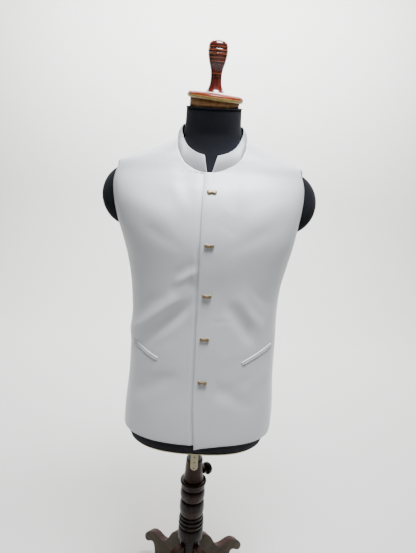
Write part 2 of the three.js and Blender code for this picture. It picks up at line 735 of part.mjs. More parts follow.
// The flat board that closes the torso's bottom, with a hole for the post
function baseBoard() {
  const outline = formRing(FORM_BOTTOM_Z).map((point) => {
    const reach = Math.hypot(point.x, point.y);
    const share = (reach - BASE_BOARD.inset) / reach;
    return new THREE.Vector2(point.x * share, point.y * share);
  });
  const shape = new THREE.Shape(outline);
  const hole = new THREE.Path();
  hole.absarc(0, 0, BORE_RADIUS, 0, 2 * Math.PI);
  shape.holes.push(hole);
  return new THREE.ExtrudeGeometry(shape, {
    depth: BASE_BOARD.thick,
    bevelEnabled: false,
    curveSegments: 16,
  });
}

// A turned piece from its profile of radius and height, lying on the axis of the stand
function turned(profile, segments) {
  const points = profile.map(([radius, height]) => new THREE.Vector2(radius, height));
  const geometry = new THREE.LatheGeometry(points, segments);
  geometry.rotateX(Math.PI / 2);
  return geometry;
}

// The points of one round bead of a turned profile
function bead(low, high, inner, swell) {
  const steps = 3;
  const points = [];
  for (let i = 0; i <= steps; i += 1) {
    const t = i / steps;
    points.push([inner + swell * Math.sin(Math.PI * t), THREE.MathUtils.lerp(low, high, t)]);
  }
  return points;
}

// The neck's plug with its underside cut level with the neck's top, which the cap leans on
function neckPlug(geometry) {
  const places = geometry.attributes.position;
  const lean = radians(CAP_TILT.side);
  for (let i = 0; i < places.count; i += 1) {
    if (places.getZ(i) < PLUG.top / 2) {
      const level = SEAM_GAP - CAP_TILT.lift + places.getX(i) * Math.sin(lean);
      places.setZ(i, level / Math.cos(lean));
    }
  }
  geometry.computeVertexNormals();
  return geometry;
}

// The neckline edges are trimmed back from the collar that is sewn to them, and each front is
// seated round its own pocket welts
const collarRoom = toSolid(standCollar(SEAM_GAP));
for (const [name, side, folds] of [["right", -1, RIGHT_FRONT_FOLDS], ["left", 1, LEFT_FRONT_FOLDS]]) {
  let front = toSolid(frontPanel(side, folds)).subtract(collarRoom);
  for (const [level, place] of [["upper", 1], ["lower", -1]]) {
    addPiece(`pocket_welt_${level}_${name}`, pocketWelt(side, folds, place, 0), CLOTH);
    front = front.subtract(toSolid(pocketWelt(side, folds, place, SEAM_GAP)));
  }
  addPiece(`front_${name}`, fromSolid(front), CLOTH);
}
addPiece("back", fromSolid(toSolid(backPanel()).subtract(collarRoom)), CLOTH);
addPiece("collar", standCollar(0), CLOTH);

BUTTON_HEIGHTS.forEach((z, i) => {
  const button = barButton(z);
  const mesh = addPiece(`button_${i + 1}`, button.geometry, GOLD);
  mesh.position.copy(button.seat);
  mesh.quaternion.copy(button.turn);
});

addPiece("form_body", formBody(), JERSEY);
const board = addPiece("form_base_board", baseBoard(), RAW_WOOD);
board.position.z = FORM_BOTTOM_Z - SEAM_GAP - BASE_BOARD.thick;

// Neck cap on the leaning top of the neck: the plug and disc sit a little askew on it
const neckTop = new THREE.Group();
neckTop.position.set(0, NECK_TOP.y, NECK_TOP.z);
neckTop.rotation.x = radians(NECK_TOP.tilt);
model.add(neckTop);
const cap = new THREE.Group();
cap.position.z = CAP_TILT.lift;
cap.rotation.y = radians(CAP_TILT.side);
neckTop.add(cap);
const plugProfile = [[0, 0], [PLUG.radius - 1, 0], [PLUG.radius, PLUG.top], [0, PLUG.top]];
const discBase = PLUG.top + SEAM_GAP;
const discProfile = [
  [0, discBase],
  [DISC.radius - 3, discBase],
  [DISC.radius, discBase + 4],
  [DISC.radius, DISC.top - DISC.round],
  [DISC.radius - 2, DISC.top - DISC.round / 2],
  [DISC.radius - DISC.round, DISC.top - 1],
  [30, DISC.top],
  [0, DISC.top],
];
cap.add(addPiece("neck_plug", neckPlug(turned(plugProfile, 30)), RAW_WOOD));
cap.add(addPiece("neck_cap_disc", turned(discProfile, 30), LACQUER));

// The finial stands nearly straight on the disc's top
const finialProfile = [
  [0, 0],
  [22, 0],
  [19, 5],
  [14.5, 14],
  [12.6, 24],
  [12.5, 36],
  [14, 47],
  [18.5, 61],
  [21.5, 75],
  ...bead(79, 87, 21, 1.2),
  [20.5, 96],
  [15, FINIAL.height - 4],
  [0, FINIAL.height],
];
const finial = addPiece("finial", turned(finialProfile, 20), LACQUER);
finial.position.z = CAP_TILT.lift + DISC.top + FINIAL.lift;
finial.rotation.y = radians(FINIAL.lean);
neckTop.add(finial);

// Height post with the perforated strap in front of it
const postTop = FORM_BOTTOM_Z - SEAM_GAP;
const postProfile = [[0, POST_BOTTOM_Z], [POST_RADIUS, POST_BOTTOM_Z], [POST_RADIUS, postTop], [0, postTop]];
addPiece("height_post", turned(postProfile, 24), STEEL);

const strapTopZ = board.position.z - SEAM_GAP;
const strapShape = new THREE.Shape();
const strapArcZ = STRAP.bottomZ + STRAP.halfWidth;
strapShape.moveTo(-STRAP.halfWidth, strapTopZ);
strapShape.lineTo(-STRAP.halfWidth, strapArcZ);
strapShape.absarc(0, strapArcZ, STRAP.halfWidth, Math.PI, 2 * Math.PI);
strapShape.lineTo(STRAP.halfWidth, strapTopZ);
for (let z = strapArcZ - 4; z < strapTopZ - STRAP.pitch / 2; z += STRAP.pitch) {
  const hole = new THREE.Path();
  hole.absarc(0, z, STRAP.hole, 0, 2 * Math.PI);
  strapShape.holes.push(hole);
}
const strap = new THREE.ExtrudeGeometry(strapShape, {
  depth: STRAP.thick,
  bevelEnabled: false,
  curveSegments: 5,
});
strap.rotateX(Math.PI / 2);
strap.translate(0, STRAP.y, 0);
addPiece("perforated_strap", strap, CREAM);

// Socket collar on the column's ring, bored across for the knob's shank
const socketProfile = [
  [BORE_RADIUS, SOCKET.bottomZ],
  [SOCKET.bottomRadius, SOCKET.bottomZ],
  [SOCKET.bottomRadius, SOCKET.bottomZ + 5],
  [24.6, 385],
  [23.4, 405],
  [SOCKET.topRadius, SOCKET.topZ],
  [BORE_RADIUS, SOCKET.topZ],
  [BORE_RADIUS, SOCKET.bottomZ],
];
const knobAxis = new THREE.Quaternion().setFromEuler(new THREE.Euler(0, Math.PI / 2, 0));
const knobGroup = new THREE.Group();
knobGroup.position.z = KNOB.z;
knobGroup.rotation.z = radians(KNOB.turn);
model.add(knobGroup);
const crossBore = new THREE.CylinderGeometry(KNOB.bore, KNOB.bore, 40, 16);
crossBore.rotateZ(Math.PI / 2);
crossBore.translate(30, 0, 0);
crossBore.rotateZ(radians(KNOB.turn));
crossBore.translate(0, 0, KNOB.z);
const socket = toSolid(turned(socketProfile, 24)).subtract(toSolid(crossBore));
addPiece("socket_collar", fromSolid(socket), LEG_WOOD);

const knobProfile = [
  [0, KNOB.tip],
  [KNOB.shank, KNOB.tip],
  [KNOB.shank, KNOB.neckAt],
  [9, KNOB.neckAt],
  [10, KNOB.neckAt + 4],
  [9.5, KNOB.headAt - 3],
  [15.5, KNOB.headAt],
  [16.5, KNOB.headAt + 5],
  [15, KNOB.end - 5],
  [10, KNOB.end - 1],
  [0, KNOB.end],
];
const knob = addPiece("clamp_knob", turned(knobProfile, 24), DARK_WOOD);
knob.quaternion.copy(knobAxis);
knobGroup.add(knob);

const ringProfile = [
  [BORE_RADIUS, RING.bottomZ],
  ...bead(RING.bottomZ, RING.topZ, RING.radius - 3, 3),
  [BORE_RADIUS, RING.topZ],
  [BORE_RADIUS, RING.bottomZ],
];
addPiece("column_ring", turned(ringProfile, 24), DARK_WOOD);

// The turned column: thin beads, two barrels and a plain band, bored for the post
const columnProfile = [
  [0, COLUMN.bottomZ],
  [32, COLUMN.bottomZ],
  ...bead(COLUMN.bottomZ + 2, COLUMN.bottomZ + 13, 31.7, 3),
  ...bead(COLUMN.bottomZ + 14, COLUMN.bottomZ + 25, 31.2, 3),
  ...bead(COLUMN.bottomZ + 26, COLUMN.bottomZ + 35, 30, 2.5),
  ...bead(264, 308, 29.5, 4.2),
  [28.8, 309],
  ...bead(310, 343, 29.5, 4),
  [30, 344],
  [32.5, 346],
  [32.5, COLUMN.topZ],
  [BORE_RADIUS, COLUMN.topZ],
  [BORE_RADIUS, BORE_BOTTOM_Z],
  [0, BORE_BOTTOM_Z],
];
addPiece("column", turned(columnProfile, 24), DARK_WOOD);

// The hub that the legs are fixed round, with a drum on top and a drop below
const hubProfile = [
  [0, HUB.bottomZ],
  [9, HUB.bottomZ + 2],
  [17, HUB.bottomZ + 9],
  [19, HUB.bottomZ + 16],
  [HUB.radius - 3, HUB.bottomZ + 19],
  [HUB.radius, HUB.bottomZ + 24],
  [HUB.radius, HUB.drumZ],
  [HUB.drumRadius - 3, HUB.drumZ],
  [HUB.drumRadius, HUB.drumZ + 5],
  [HUB.drumRadius, HUB.topZ - 6],
  [HUB.drumRadius - 3, HUB.topZ],
  [0, HUB.topZ],
];
addPiece("hub", turned(hubProfile, 24), DARK_WOOD);

// A flat leg sawn from board: it drops from the hub in an S, stands on its foot and ends in an
// upturned scroll
function legOutline() {
  const root = HUB.radius + SEAM_GAP;
  const outline = new THREE.Shape();
  outline.moveTo(root, LEG.topZ);
  for (const curve of LEG_CURVES) {
    outline.bezierCurveTo(curve.outA, curve.upA, curve.outB, curve.upB, curve.out, curve.up);
  }
  outline.lineTo(LEG.footReach, 0);
  outline.bezierCurveTo(LEG.footReach - 6, 30, root + 26, LEG.rootZ - 8, root, LEG.rootZ);
  outline.closePath();
  return outline;
}
for (let i = 0; i < LEG_COUNT; i += 1) {
  const geometry = new THREE.ExtrudeGeometry(legOutline(), {
    depth: LEG.thick,
    bevelEnabled: false,
    curveSegments: 7,
  });
  geometry.rotateX(Math.PI / 2);
  geometry.translate(0, LEG.thick / 2, 0);
  const leg = addPiece(`leg_${i + 1}`, geometry, LEG_WOOD);
  leg.rotation.z = radians(LEG.turn) + (i * 2 * Math.PI) / LEG_COUNT;
}

export default model;
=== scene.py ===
"""Looks for a sleeveless bandhgala jacket on a limbless dress form with a turned stand.

The tables and the surface are in millimetres, as in the part's source; every mesh is in metres.
"""

import math

import bpy
import numpy as np
from mathutils import Matrix, Vector


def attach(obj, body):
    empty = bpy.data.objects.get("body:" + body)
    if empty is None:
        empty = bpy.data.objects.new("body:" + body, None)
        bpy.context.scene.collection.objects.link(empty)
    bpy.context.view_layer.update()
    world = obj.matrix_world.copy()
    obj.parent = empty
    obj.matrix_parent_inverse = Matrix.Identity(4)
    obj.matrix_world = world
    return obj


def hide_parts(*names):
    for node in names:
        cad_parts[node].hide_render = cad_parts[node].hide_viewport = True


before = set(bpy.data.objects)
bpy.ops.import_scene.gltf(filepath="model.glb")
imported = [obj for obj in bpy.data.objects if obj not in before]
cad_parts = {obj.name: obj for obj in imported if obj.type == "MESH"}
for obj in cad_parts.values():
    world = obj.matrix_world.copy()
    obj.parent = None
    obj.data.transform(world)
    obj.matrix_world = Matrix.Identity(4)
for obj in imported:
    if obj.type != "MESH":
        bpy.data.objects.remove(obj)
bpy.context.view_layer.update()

MM = 0.001

# Jacket: walls, edges and heights
CLOTH_WALL = 1.8
HEM_Z = 548
SHOULDER_TIP_Z = 1194
FRONT_NECK_Z = 1172
SIDE_SEAM_ANGLE = 93
SHOULDER_SEAM_ANGLE = 78
SEAM_GAP = 0.3
PLACKET_EDGE_TOP_X = -13.5
PLACKET_EDGE_HEM_X = -10
CORNER_SWING = 8
UNDERLAP_X = 20
LAP_FROM_X = 34
LAP_TO_X = 80
LAP_LIFT = 2.9
CORNER_DROP = 10
CORNER_DROP_SPAN = 62
ARMHOLE_BOTTOM_Z = 998
ARMHOLE_HALF_HEIGHT = (SHOULDER_TIP_Z - ARMHOLE_BOTTOM_Z) / 2
ARMHOLE_FRONT_REACH = 51
ARMHOLE_BACK_REACH = 56
COLLAR_WALL = 2.4
COLLAR_NOTCH_HALF_BOTTOM = 3.4
COLLAR_NOTCH_HALF_TOP = 14.5
COLLAR_TOP_HALF_WIDTH = 73
COLLAR_TOP_FRONT_Y = -72
COLLAR_TOP_BACK_Y = 60
COLLAR_BOW = 2.5
BUTTON_HEIGHTS = (1129, 1017, 905, 805, 703)
BUTTON_INSET = 19.5

# Pockets: each one's outer end (x, z), for the wearer's left (1) and right (-1), and the inner end
POCKET_OUTER = {1: (168, 784), -1: (163, 773)}
POCKET_INNER = (97, 747)
WELT_WIDTH = 4.4
POCKET_DIP_DEPTH = 1.3
POCKET_DIP_FROM_WELT = 1.2
POCKET_DIP_WIDTH = 1.7

# Turned-in edges with their topstitched groove, and pressed seams
EDGE_FOLD = 0.55
EDGE_FOLD_WIDTH = 9
EDGE_FADE = (1.5, 2.5)
STITCH_GROOVE_DEPTH = 0.35
STITCH_GROOVE_WIDTH = 1.6
SEAM_DIP = 0.5
SEAM_GAP_ANGLE = 0.03

# Rows of a panel below, beside and above the armhole, and columns of each panel
BODY_ROWS, ARMHOLE_ROWS, SHOULDER_ROWS = 84, 52, 20
FRONT_COLUMNS, BACK_COLUMNS, COLLAR_COLUMNS, COLLAR_ROWS = 84, 140, 180, 22

# How far from the opening the folds and the creases begin and reach their depth
FOLDS_BEGIN, FOLDS_FULL = 36, 62
CREASES_BEGIN, CREASES_FULL = 26, 40

# Where the placket presses into the front under it: a dip, and the ridge beside it
PLACKET_DIP = {"place": -3, "width": 3.4, "depth": 2.2}
PLACKET_RIDGE = {"place": -11, "width": 3, "depth": 0.6}

# The slow unevenness of worn cloth
DRIFT_WAVES = 9
DRIFT_SHORTEST, DRIFT_LONGEST = 45, 150
DRIFT_SEED = 40
DRIFT_SHARE = 0.5

# Form, and the bore of the stand's socket
FORM_BOTTOM_Z = 513
SHOULDER_DROP = 3.6
NECK_TOP_Z = 1325
NECK_TOP_Y = -10
NECK_TOP_TILT = 14
CAP_SIDE_TILT = 4.6
CAP_LIFT = 4.9
BORE = 19.6

# Jacket sections: height, the middle's x, half-width, depth in front, depth behind, squareness
SECTIONS = np.array([
    (504, 0, 174, 119, 112, 2.4),
    (523, 0, 185, 129, 120, 2.4),
    (548, 1, 189, 135, 124, 2.4),
    (600, 3, 189, 133, 124, 2.4),
    (690, 4, 183, 127, 114, 2.4),
    (790, 4, 181, 124, 103, 2.4),
    (860, 4, 180, 123, 99, 2.4),
    (915, 4, 183, 126, 103, 2.5),
    (970, 5, 193, 132, 111, 2.6),
    (1020, 4, 204, 135, 117, 2.8),
    (1060, 1, 213, 132, 121, 2.9),
    (1100, -1, 221, 123, 122, 2.9),
    (1140, -2, 226, 104, 120, 2.9),
    (1172, -2, 226, 80, 113, 2.9),
    (1194, -1, 215, 69, 103, 3),
    (1207, 0, 189, 64, 95, 2.8),
    (1220, 0, 158, 58, 86, 2.4),
    (1236, 0, 119, 54, 76, 2.1),
    (1250, 0, 86, 52, 67, 2),
    (1262, 0, 77, 52, 62, 2),
], float)

# Height and how far the cloth stands off the form there
EASE = np.array([
    (504, 9), (560, 8), (700, 7), (860, 10), (1000, 5),
    (1100, 3), (1160, 6), (1194, 11), (1207, 2.5), (1262, 1),
], float)

# Angle from the centre front and the neckline's height
NECKLINE = np.array([
    (0, 1171.6), (1.2, 1173.5), (2.9, 1178), (5.7, 1187.5), (10.4, 1201.5), (21, 1217.5),
    (41, 1237), (60, 1247.5), (90, 1254), (130, 1258.5), (180, 1261),
], float)

# Angle from the centre front and the height of the collar's top edge
COLLAR_TOP = np.array([
    (0, 1208), (28, 1218), (50, 1235), (67, 1257), (90, 1281), (130, 1297), (180, 1303),
], float)

# The form's neck: height, half-width, half-depth, y of its centre, lean in degrees
NECK_SECTIONS = (
    (1262, 70, 56, 3, 3),
    (1274, 66.5, 56, 0, 6),
    (1296, 64.5, 56, -5, 10),
    (NECK_TOP_Z, 63.5, 57, NECK_TOP_Y, NECK_TOP_TILT),
)

# Folds and finer creases: from x, from z, to x, to z, width, depth (a hollow is minus)
RIGHT_FOLDS = (
    (-50, 905, -160, 800, 15, 5),
    (-40, 868, -150, 765, 15, -4.5),
    (-20, 925, -62, 915, 10, 3),
    (-62, 706, -150, 655, 17, -3.5),
    (-80, 1065, -170, 1115, 26, 3.5),
)
LEFT_FOLDS = (
    (78, 905, 128, 838, 13, 4),
    (60, 880, 120, 800, 15, -3.5),
    (40, 690, 120, 640, 18, -3),
    (90, 1065, 172, 1120, 26, 3.5),
)
BACK_FOLDS = (
    (-110, 880, 60, 800, 18, 4),
    (120, 850, -30, 740, 18, -4),
    (-150, 800, -70, 720, 16, 3),
    (70, 1010, 160, 1090, 22, 3),
    (-70, 1010, -160, 1090, 22, 3),
)
RIGHT_CREASES = (
    (-20, 958, -58, 932, 8, 3.2),
    (-26, 976, -62, 952, 9, -0.9),
    (-20, 925, -66, 913, 11, -2.6),
    (-54, 892, -110, 850, 9, 1.4),
    (-110, 848, -172, 796, 10, 1.6),
    (-103, 892, -172, 838, 12, -1.7),
    (-30, 884, -95, 830, 10, -1.2),
    (-24, 862, -100, 792, 13, 1.3),
    (-60, 800, -120, 768, 11, -0.9),
    (-78, 712, -145, 690, 12, -0.8),
    (-71, 694, -130, 664, 12, 0.8),
    (-50, 660, -110, 630, 16, -0.6),
    (-64, 1186, -42, 1114, 12, -1),
    (-84, 1150, -50, 1090, 12, 0.8),
    (-60, 1010, -130, 1050, 14, -1),
    (-30, 640, -60, 600, 16, 0.6),
    (-150, 960, -184, 985, 8, -0.8),
)
LEFT_CREASES = (
    (13, 854, 68, 856, 2.4, 0.6),
    (14, 837, 70, 839, 2.4, 0.6),
    (20, 845, 66, 847, 3, -0.4),
    (12, 1068, 26, 1082, 3.5, 1.2),
    (30, 1062, 56, 1046, 5, -0.7),
    (30, 1094, 60, 1082, 6, 0.7),
    (34, 1164, 56, 1102, 10, -1),
    (62, 1150, 74, 1110, 12, 0.7),
    (85, 928, 137, 868, 11, 1.2),
    (69, 914, 101, 870, 12, -1.2),
    (120, 912, 160, 878, 12, -1),
    (166, 892, 128, 806, 11, 1.1),
    (110, 850, 100, 800, 13, -0.8),
    (122, 700, 172, 717, 12, 0.8),
    (50, 676, 131, 712, 13, -0.9),
    (40, 650, 110, 640, 16, 0.6),
    (60, 1010, 130, 1052, 14, -1),
    (148, 960, 184, 985, 8, -0.8),
    (40, 760, 96, 772, 14, 0.5),
)
BACK_CREASES = (
    (-60, 846, 30, 838, 7, 1.1),
    (60, 800, -20, 786, 7, -1.1),
    (130, 905, 60, 860, 8, 1.2),
    (-140, 905, -80, 862, 8, -1.2),
    (-40, 1225, -60, 1150, 12, -1.0),
    (40, 1225, 60, 1150, 12, -1.0),
    (-120, 640, -50, 610, 14, 1.0),
)


def read(table, place, column):
    """One column of a table at places along its first column, on a smooth curve through the rows."""
    keys = table[:, 0]
    values = table[:, column]
    last = len(keys) - 1
    before = np.maximum(np.arange(last + 1) - 1, 0)
    after = np.minimum(np.arange(last + 1) + 1, last)
    slopes = (values[after] - values[before]) / (keys[after] - keys[before])
    place = np.asarray(place, float)
    i = np.clip(np.searchsorted(keys, place, side="left") - 1, 0, last - 1)
    span = keys[i + 1] - keys[i]
    t = np.clip((place - keys[i]) / span, 0, 1)
    rise = (2 * t**3 - 3 * t**2 + 1) * values[i] + (3 * t**2 - 2 * t**3) * values[i + 1]
    lean = (t**3 - 2 * t**2 + t) * slopes[i] + (t**3 - t**2) * slopes[i + 1]
    return rise + lean * span


def smooth_step(low, high, value):
    t = np.clip((np.asarray(value, float) - low) / (high - low), 0, 1)
    return t * t * (3 - 2 * t)


def unit(vectors):
    return vectors / np.maximum(np.linalg.norm(vectors, axis=-1, keepdims=True), 1e-9)


def surface(z, degrees):
    """The jacket's outer surface at heights and signed angles from the centre front."""
    z, degrees = np.broadcast_arrays(np.asarray(z, float), np.asarray(degrees, float))
    power = 2 / read(SECTIONS, z, 5)
    side = np.sin(np.radians(degrees))
    ahead = np.cos(np.radians(degrees))
    depth = np.where(ahead > 0, read(SECTIONS, z, 3), read(SECTIONS, z, 4))
    x = read(SECTIONS, z, 1) + np.sign(side) * read(SECTIONS, z, 2) * np.abs(side) ** power
    y = -np.sign(ahead) * depth * np.abs(ahead) ** power
    return np.stack([x, y, z], -1)


def surface_normal(z, degrees):
    z = np.asarray(z, float)
    along = surface(z, degrees + 1) - surface(z, degrees - 1)
    up = surface(np.minimum(z + 3, SECTIONS[-1, 0]), degrees) - surface(z - 3, degrees)
    return unit(np.cross(along, up))


def moved_out(z, degrees, distance):
    distance = np.asarray(distance, float)
    return surface(z, degrees) + surface_normal(z, degrees) * distance[..., None]


def angle_at_x(z, x):
    reach = x - read(SECTIONS, z, 1)
    share = np.clip(np.abs(reach) / read(SECTIONS, z, 2), 0, 1)
    return np.sign(reach) * np.degrees(np.arcsin(share ** (read(SECTIONS, z, 5) / 2)))


def angle_at_y(z, y):
    depth = np.where(np.asarray(y) < 0, read(SECTIONS, z, 3), read(SECTIONS, z, 4))
    share = np.clip(np.abs(y) / depth, 0, 1)
    degrees = np.degrees(np.arccos(share ** (read(SECTIONS, z, 5) / 2)))
    return np.where(np.asarray(y) < 0, degrees, 180 - degrees)


def neckline_z(degrees):
    degrees = np.abs(np.asarray(degrees, float))
    return read(NECKLINE, np.minimum(degrees, 360 - degrees), 1)


def neckline_angle(z):
    """The neckline's angle at a height."""
    angles = np.linspace(0, SHOULDER_SEAM_ANGLE, 600)
    return np.interp(z, neckline_z(angles), angles)


def panel_edge_angle(z, side):
    """Where a front (-1) or the back (1) ends: side seam, armhole, then shoulder seam."""
    z = np.asarray(z, float)
    t = np.clip((z - ARMHOLE_BOTTOM_Z) / ARMHOLE_HALF_HEIGHT - 1, -1, 1)
    opening = np.sqrt(1 - t * t)
    bottom_y = surface(ARMHOLE_BOTTOM_Z, SIDE_SEAM_ANGLE)[1]
    top_y = surface(SHOULDER_TIP_Z, SHOULDER_SEAM_ANGLE)[1]
    middle = bottom_y + (top_y - bottom_y) * ((t + 1) / 2) ** 4
    reach = ARMHOLE_FRONT_REACH if side < 0 else ARMHOLE_BACK_REACH
    inside = angle_at_y(z, middle + side * reach * opening)
    outside = np.where(z <= ARMHOLE_BOTTOM_Z, SIDE_SEAM_ANGLE, SHOULDER_SEAM_ANGLE)
    in_armhole = (z > ARMHOLE_BOTTOM_Z) & (z < SHOULDER_TIP_Z)
    return np.where(in_armhole, inside, outside)


def ripple(distance, width):
    """A smooth ripple's height, 1 at its middle, at distances from it."""
    return np.exp(-((distance / width) ** 2))


def fold_lift(folds, points):
    lift = np.zeros(points.shape[:-1])
    for from_x, from_z, to_x, to_z, width, depth in folds:
        line = np.array([to_x - from_x, to_z - from_z], float)
        place = points[..., [0, 2]] - (from_x, from_z)
        along = place @ line / (line @ line)
        across = np.linalg.norm(place - along[..., None] * line, axis=-1)
        ends = smooth_step(-0.35, 0.25, along) * (1 - smooth_step(0.75, 1.35, along))
        lift += depth * ripple(across, width) * ends
    return lift


def placket_edge_x(z):
    t = (np.asarray(z, float) - HEM_Z) / (FRONT_NECK_Z - HEM_Z)
    swing = CORNER_SWING * (1 - smooth_step(HEM_Z - CORNER_DROP, HEM_Z + 100, z))
    return PLACKET_EDGE_HEM_X + (PLACKET_EDGE_TOP_X - PLACKET_EDGE_HEM_X) * t + swing


def opening_x(z, side):
    return placket_edge_x(z) if side > 0 else np.full(np.shape(z), float(UNDERLAP_X))


def pocket_dip(side, points):
    """How far the cloth dips along a pocket's upper edge, where the welt is turned in."""
    outer, inner = np.array(POCKET_OUTER[side], float), np.array(POCKET_INNER, float)
    line = inner - outer
    place = points[..., [0, 2]] * (side, 1) - outer
    along = place @ line / (line @ line)
    off_line = np.abs(place[..., 0] * line[1] - place[..., 1] * line[0]) / np.hypot(*line)
    ends = smooth_step(-0.06, 0.05, along) * (1 - smooth_step(0.95, 1.06, along))
    off_welt = off_line - WELT_WIDTH - POCKET_DIP_FROM_WELT
    return POCKET_DIP_DEPTH * ripple(off_welt, POCKET_DIP_WIDTH) * ends


def front_lift(side, z, degrees, share):
    """How far a front's face stands off the plain surface: its lap, folds and creases."""
    points = surface(z, degrees)
    x = points[..., 0]
    folds, creases = (LEFT_FOLDS, LEFT_CREASES) if side > 0 else (RIGHT_FOLDS, RIGHT_CREASES)
    from_opening = side * (x - opening_x(z, side))
    large = fold_lift(folds, points) * smooth_step(FOLDS_BEGIN, FOLDS_FULL, from_opening)
    fine = fold_lift(creases, points) * smooth_step(CREASES_BEGIN, CREASES_FULL, from_opening)
    fine = fine + drift(points, side) * DRIFT_SHARE - pocket_dip(side, points)
    if side > 0:
        lap = LAP_LIFT * (1 - smooth_step(LAP_FROM_X, LAP_TO_X, x))
    else:
        ridge, dip = (
            part["depth"] * ripple(x - placket_edge_x(z) - part["place"], part["width"])
            for part in (PLACKET_RIDGE, PLACKET_DIP))
        lap = ridge - dip
    at_seam = smooth_step(0.9, 1, share)
    return lap + (large + fine) * (1 - at_seam)


def drift(points, seed):
    """The slow unevenness of worn cloth, from a few seeded waves."""
    waves = np.random.default_rng(DRIFT_SEED + seed)
    total = np.zeros(points.shape[:-1])
    for _ in range(DRIFT_WAVES):
        direction = waves.normal(size=3)
        length = waves.uniform(DRIFT_SHORTEST, DRIFT_LONGEST)
        phase = waves.uniform(0, 2 * math.pi)
        height = length / DRIFT_LONGEST
        total += np.sin(points @ unit(direction) * 2 * math.pi / length + phase) * height
    return total / math.sqrt(DRIFT_WAVES)


def row_heights(top):
    """Heights of a panel's rows, close together where the armhole turns."""
    body = np.linspace(HEM_Z, ARMHOLE_BOTTOM_Z, BODY_ROWS)
    turn = (1 - np.cos(np.linspace(0, math.pi, ARMHOLE_ROWS))) / 2
    armhole = ARMHOLE_BOTTOM_Z + 2 * ARMHOLE_HALF_HEIGHT * turn
    shoulder = np.linspace(SHOULDER_TIP_Z, top, SHOULDER_ROWS)
    return np.unique(np.round(np.concatenate([body, armhole, [FRONT_NECK_Z], shoulder]), 4))


def front_grid(side):
    """The points of a front's outer face, from left to right seen from outside, hem first."""
    rows = row_heights(float(neckline_z(SHOULDER_SEAM_ANGLE)))
    edge_angle = angle_at_x(rows, opening_x(rows, side))
    on_neckline = side * np.minimum(neckline_angle(rows), SHOULDER_SEAM_ANGLE - 9)
    start = np.where(rows <= FRONT_NECK_Z, edge_angle, on_neckline)
    edge = panel_edge_angle(rows, -1)
    share = np.linspace(0, 1, FRONT_COLUMNS)[None, :]
    degrees = start[:, None] + (side * (edge - SEAM_GAP_ANGLE) - start)[:, None] * share
    z = np.repeat(rows[:, None], FRONT_COLUMNS, 1)
    over_neck = z > FRONT_NECK_Z
    z = np.where(over_neck, np.minimum(z, neckline_z(degrees)), z)
    if side > 0:
        x = surface(z, degrees)[..., 0]
        corner = np.maximum(0, 1 - (x - placket_edge_x(z)) / CORNER_DROP_SPAN)
        z = z - CORNER_DROP * corner**2 * (1 - smooth_step(HEM_Z, HEM_Z + 90, z))
    grid = moved_out(z, degrees, front_lift(side, z, degrees, share))
    return grid if side > 0 else grid[:, ::-1]


def back_grid():
    """The points of the back's outer face, its top row raised to the neckline."""
    neck_side_z = float(neckline_z(SHOULDER_SEAM_ANGLE))
    rows = row_heights(neck_side_z)
    start = panel_edge_angle(rows, 1) + SEAM_GAP_ANGLE
    share = np.linspace(0, 1, BACK_COLUMNS)[None, :]
    degrees = start[:, None] + (360 - 2 * start)[:, None] * share
    rise = smooth_step(SHOULDER_TIP_Z - 90, neck_side_z, rows)[:, None]
    z = rows[:, None] + (neckline_z(degrees) - neck_side_z) * rise
    off_seams = smooth_step(0, 0.08, share) * smooth_step(0, 0.08, 1 - share)
    points = surface(z, degrees)
    lift = fold_lift(BACK_FOLDS + BACK_CREASES, points) + drift(points, 2) * DRIFT_SHARE
    return moved_out(z, degrees, lift * off_seams)


def neckline_towards(direction):
    """The neckline's points that lie in given directions from the axis."""
    angles = np.linspace(0, 180, 1441)
    points = surface(neckline_z(angles), angles)
    seen = np.degrees(np.arctan2(points[:, 0], -points[:, 1]))
    direction = np.asarray(direction, float)
    folded = np.where(direction > 180, 360 - direction, direction)
    angle = np.interp(folded, seen, angles)
    angle = np.where(direction > 180, 360 - angle, angle)
    return surface(neckline_z(angle), angle)


def collar_grid():
    """The collar's outer face, from one side of the notch round the neck to the other."""
    front_depth = -surface(FRONT_NECK_Z, 0)[1]
    bottom = math.degrees(math.atan(COLLAR_NOTCH_HALF_BOTTOM / front_depth))
    top = math.degrees(math.asin(COLLAR_NOTCH_HALF_TOP / COLLAR_TOP_HALF_WIDTH))
    share = np.linspace(0, 1, COLLAR_COLUMNS)
    direction = bottom + (360 - 2 * bottom) * share
    turn = top + (360 - 2 * top) * share
    low = neckline_towards(direction)
    middle_y = (COLLAR_TOP_FRONT_Y + COLLAR_TOP_BACK_Y) / 2
    half_depth = (COLLAR_TOP_BACK_Y - COLLAR_TOP_FRONT_Y) / 2
    high = np.stack([
        COLLAR_TOP_HALF_WIDTH * np.sin(np.radians(turn)),
        middle_y - half_depth * np.cos(np.radians(turn)),
        read(COLLAR_TOP, np.minimum(turn, 360 - turn), 1),
    ], -1)
    up = unit(high - low)
    bearing = np.radians(direction)
    level = np.stack([np.sin(bearing), -np.cos(bearing), 0 * direction], -1)
    outward = unit(level - up * np.sum(level * up, -1, keepdims=True))
    base = low + up * 2 * SEAM_GAP
    rise = np.linspace(0, 1, COLLAR_ROWS)[:, None, None]
    bow = COLLAR_BOW * np.sin(math.pi * rise)
    return base + (high - base) * rise + outward * bow


def folded_edge(grid, edge, width=EDGE_FOLD_WIDTH, fold=EDGE_FOLD):
    """A panel with its turned-in edge a little thicker, as far as its topstitching."""
    near = np.full(grid.shape[:2], 1e9)
    for point in even(edge, 4):
        near = np.minimum(near, np.linalg.norm(grid - point, axis=-1))
    band = 1 - smooth_step(width - EDGE_FADE[0], width + EDGE_FADE[1], near)
    groove = STITCH_GROOVE_DEPTH * ripple(near - width, STITCH_GROOVE_WIDTH)
    return grid + grid_normals(grid) * (band * fold - groove)[..., None]


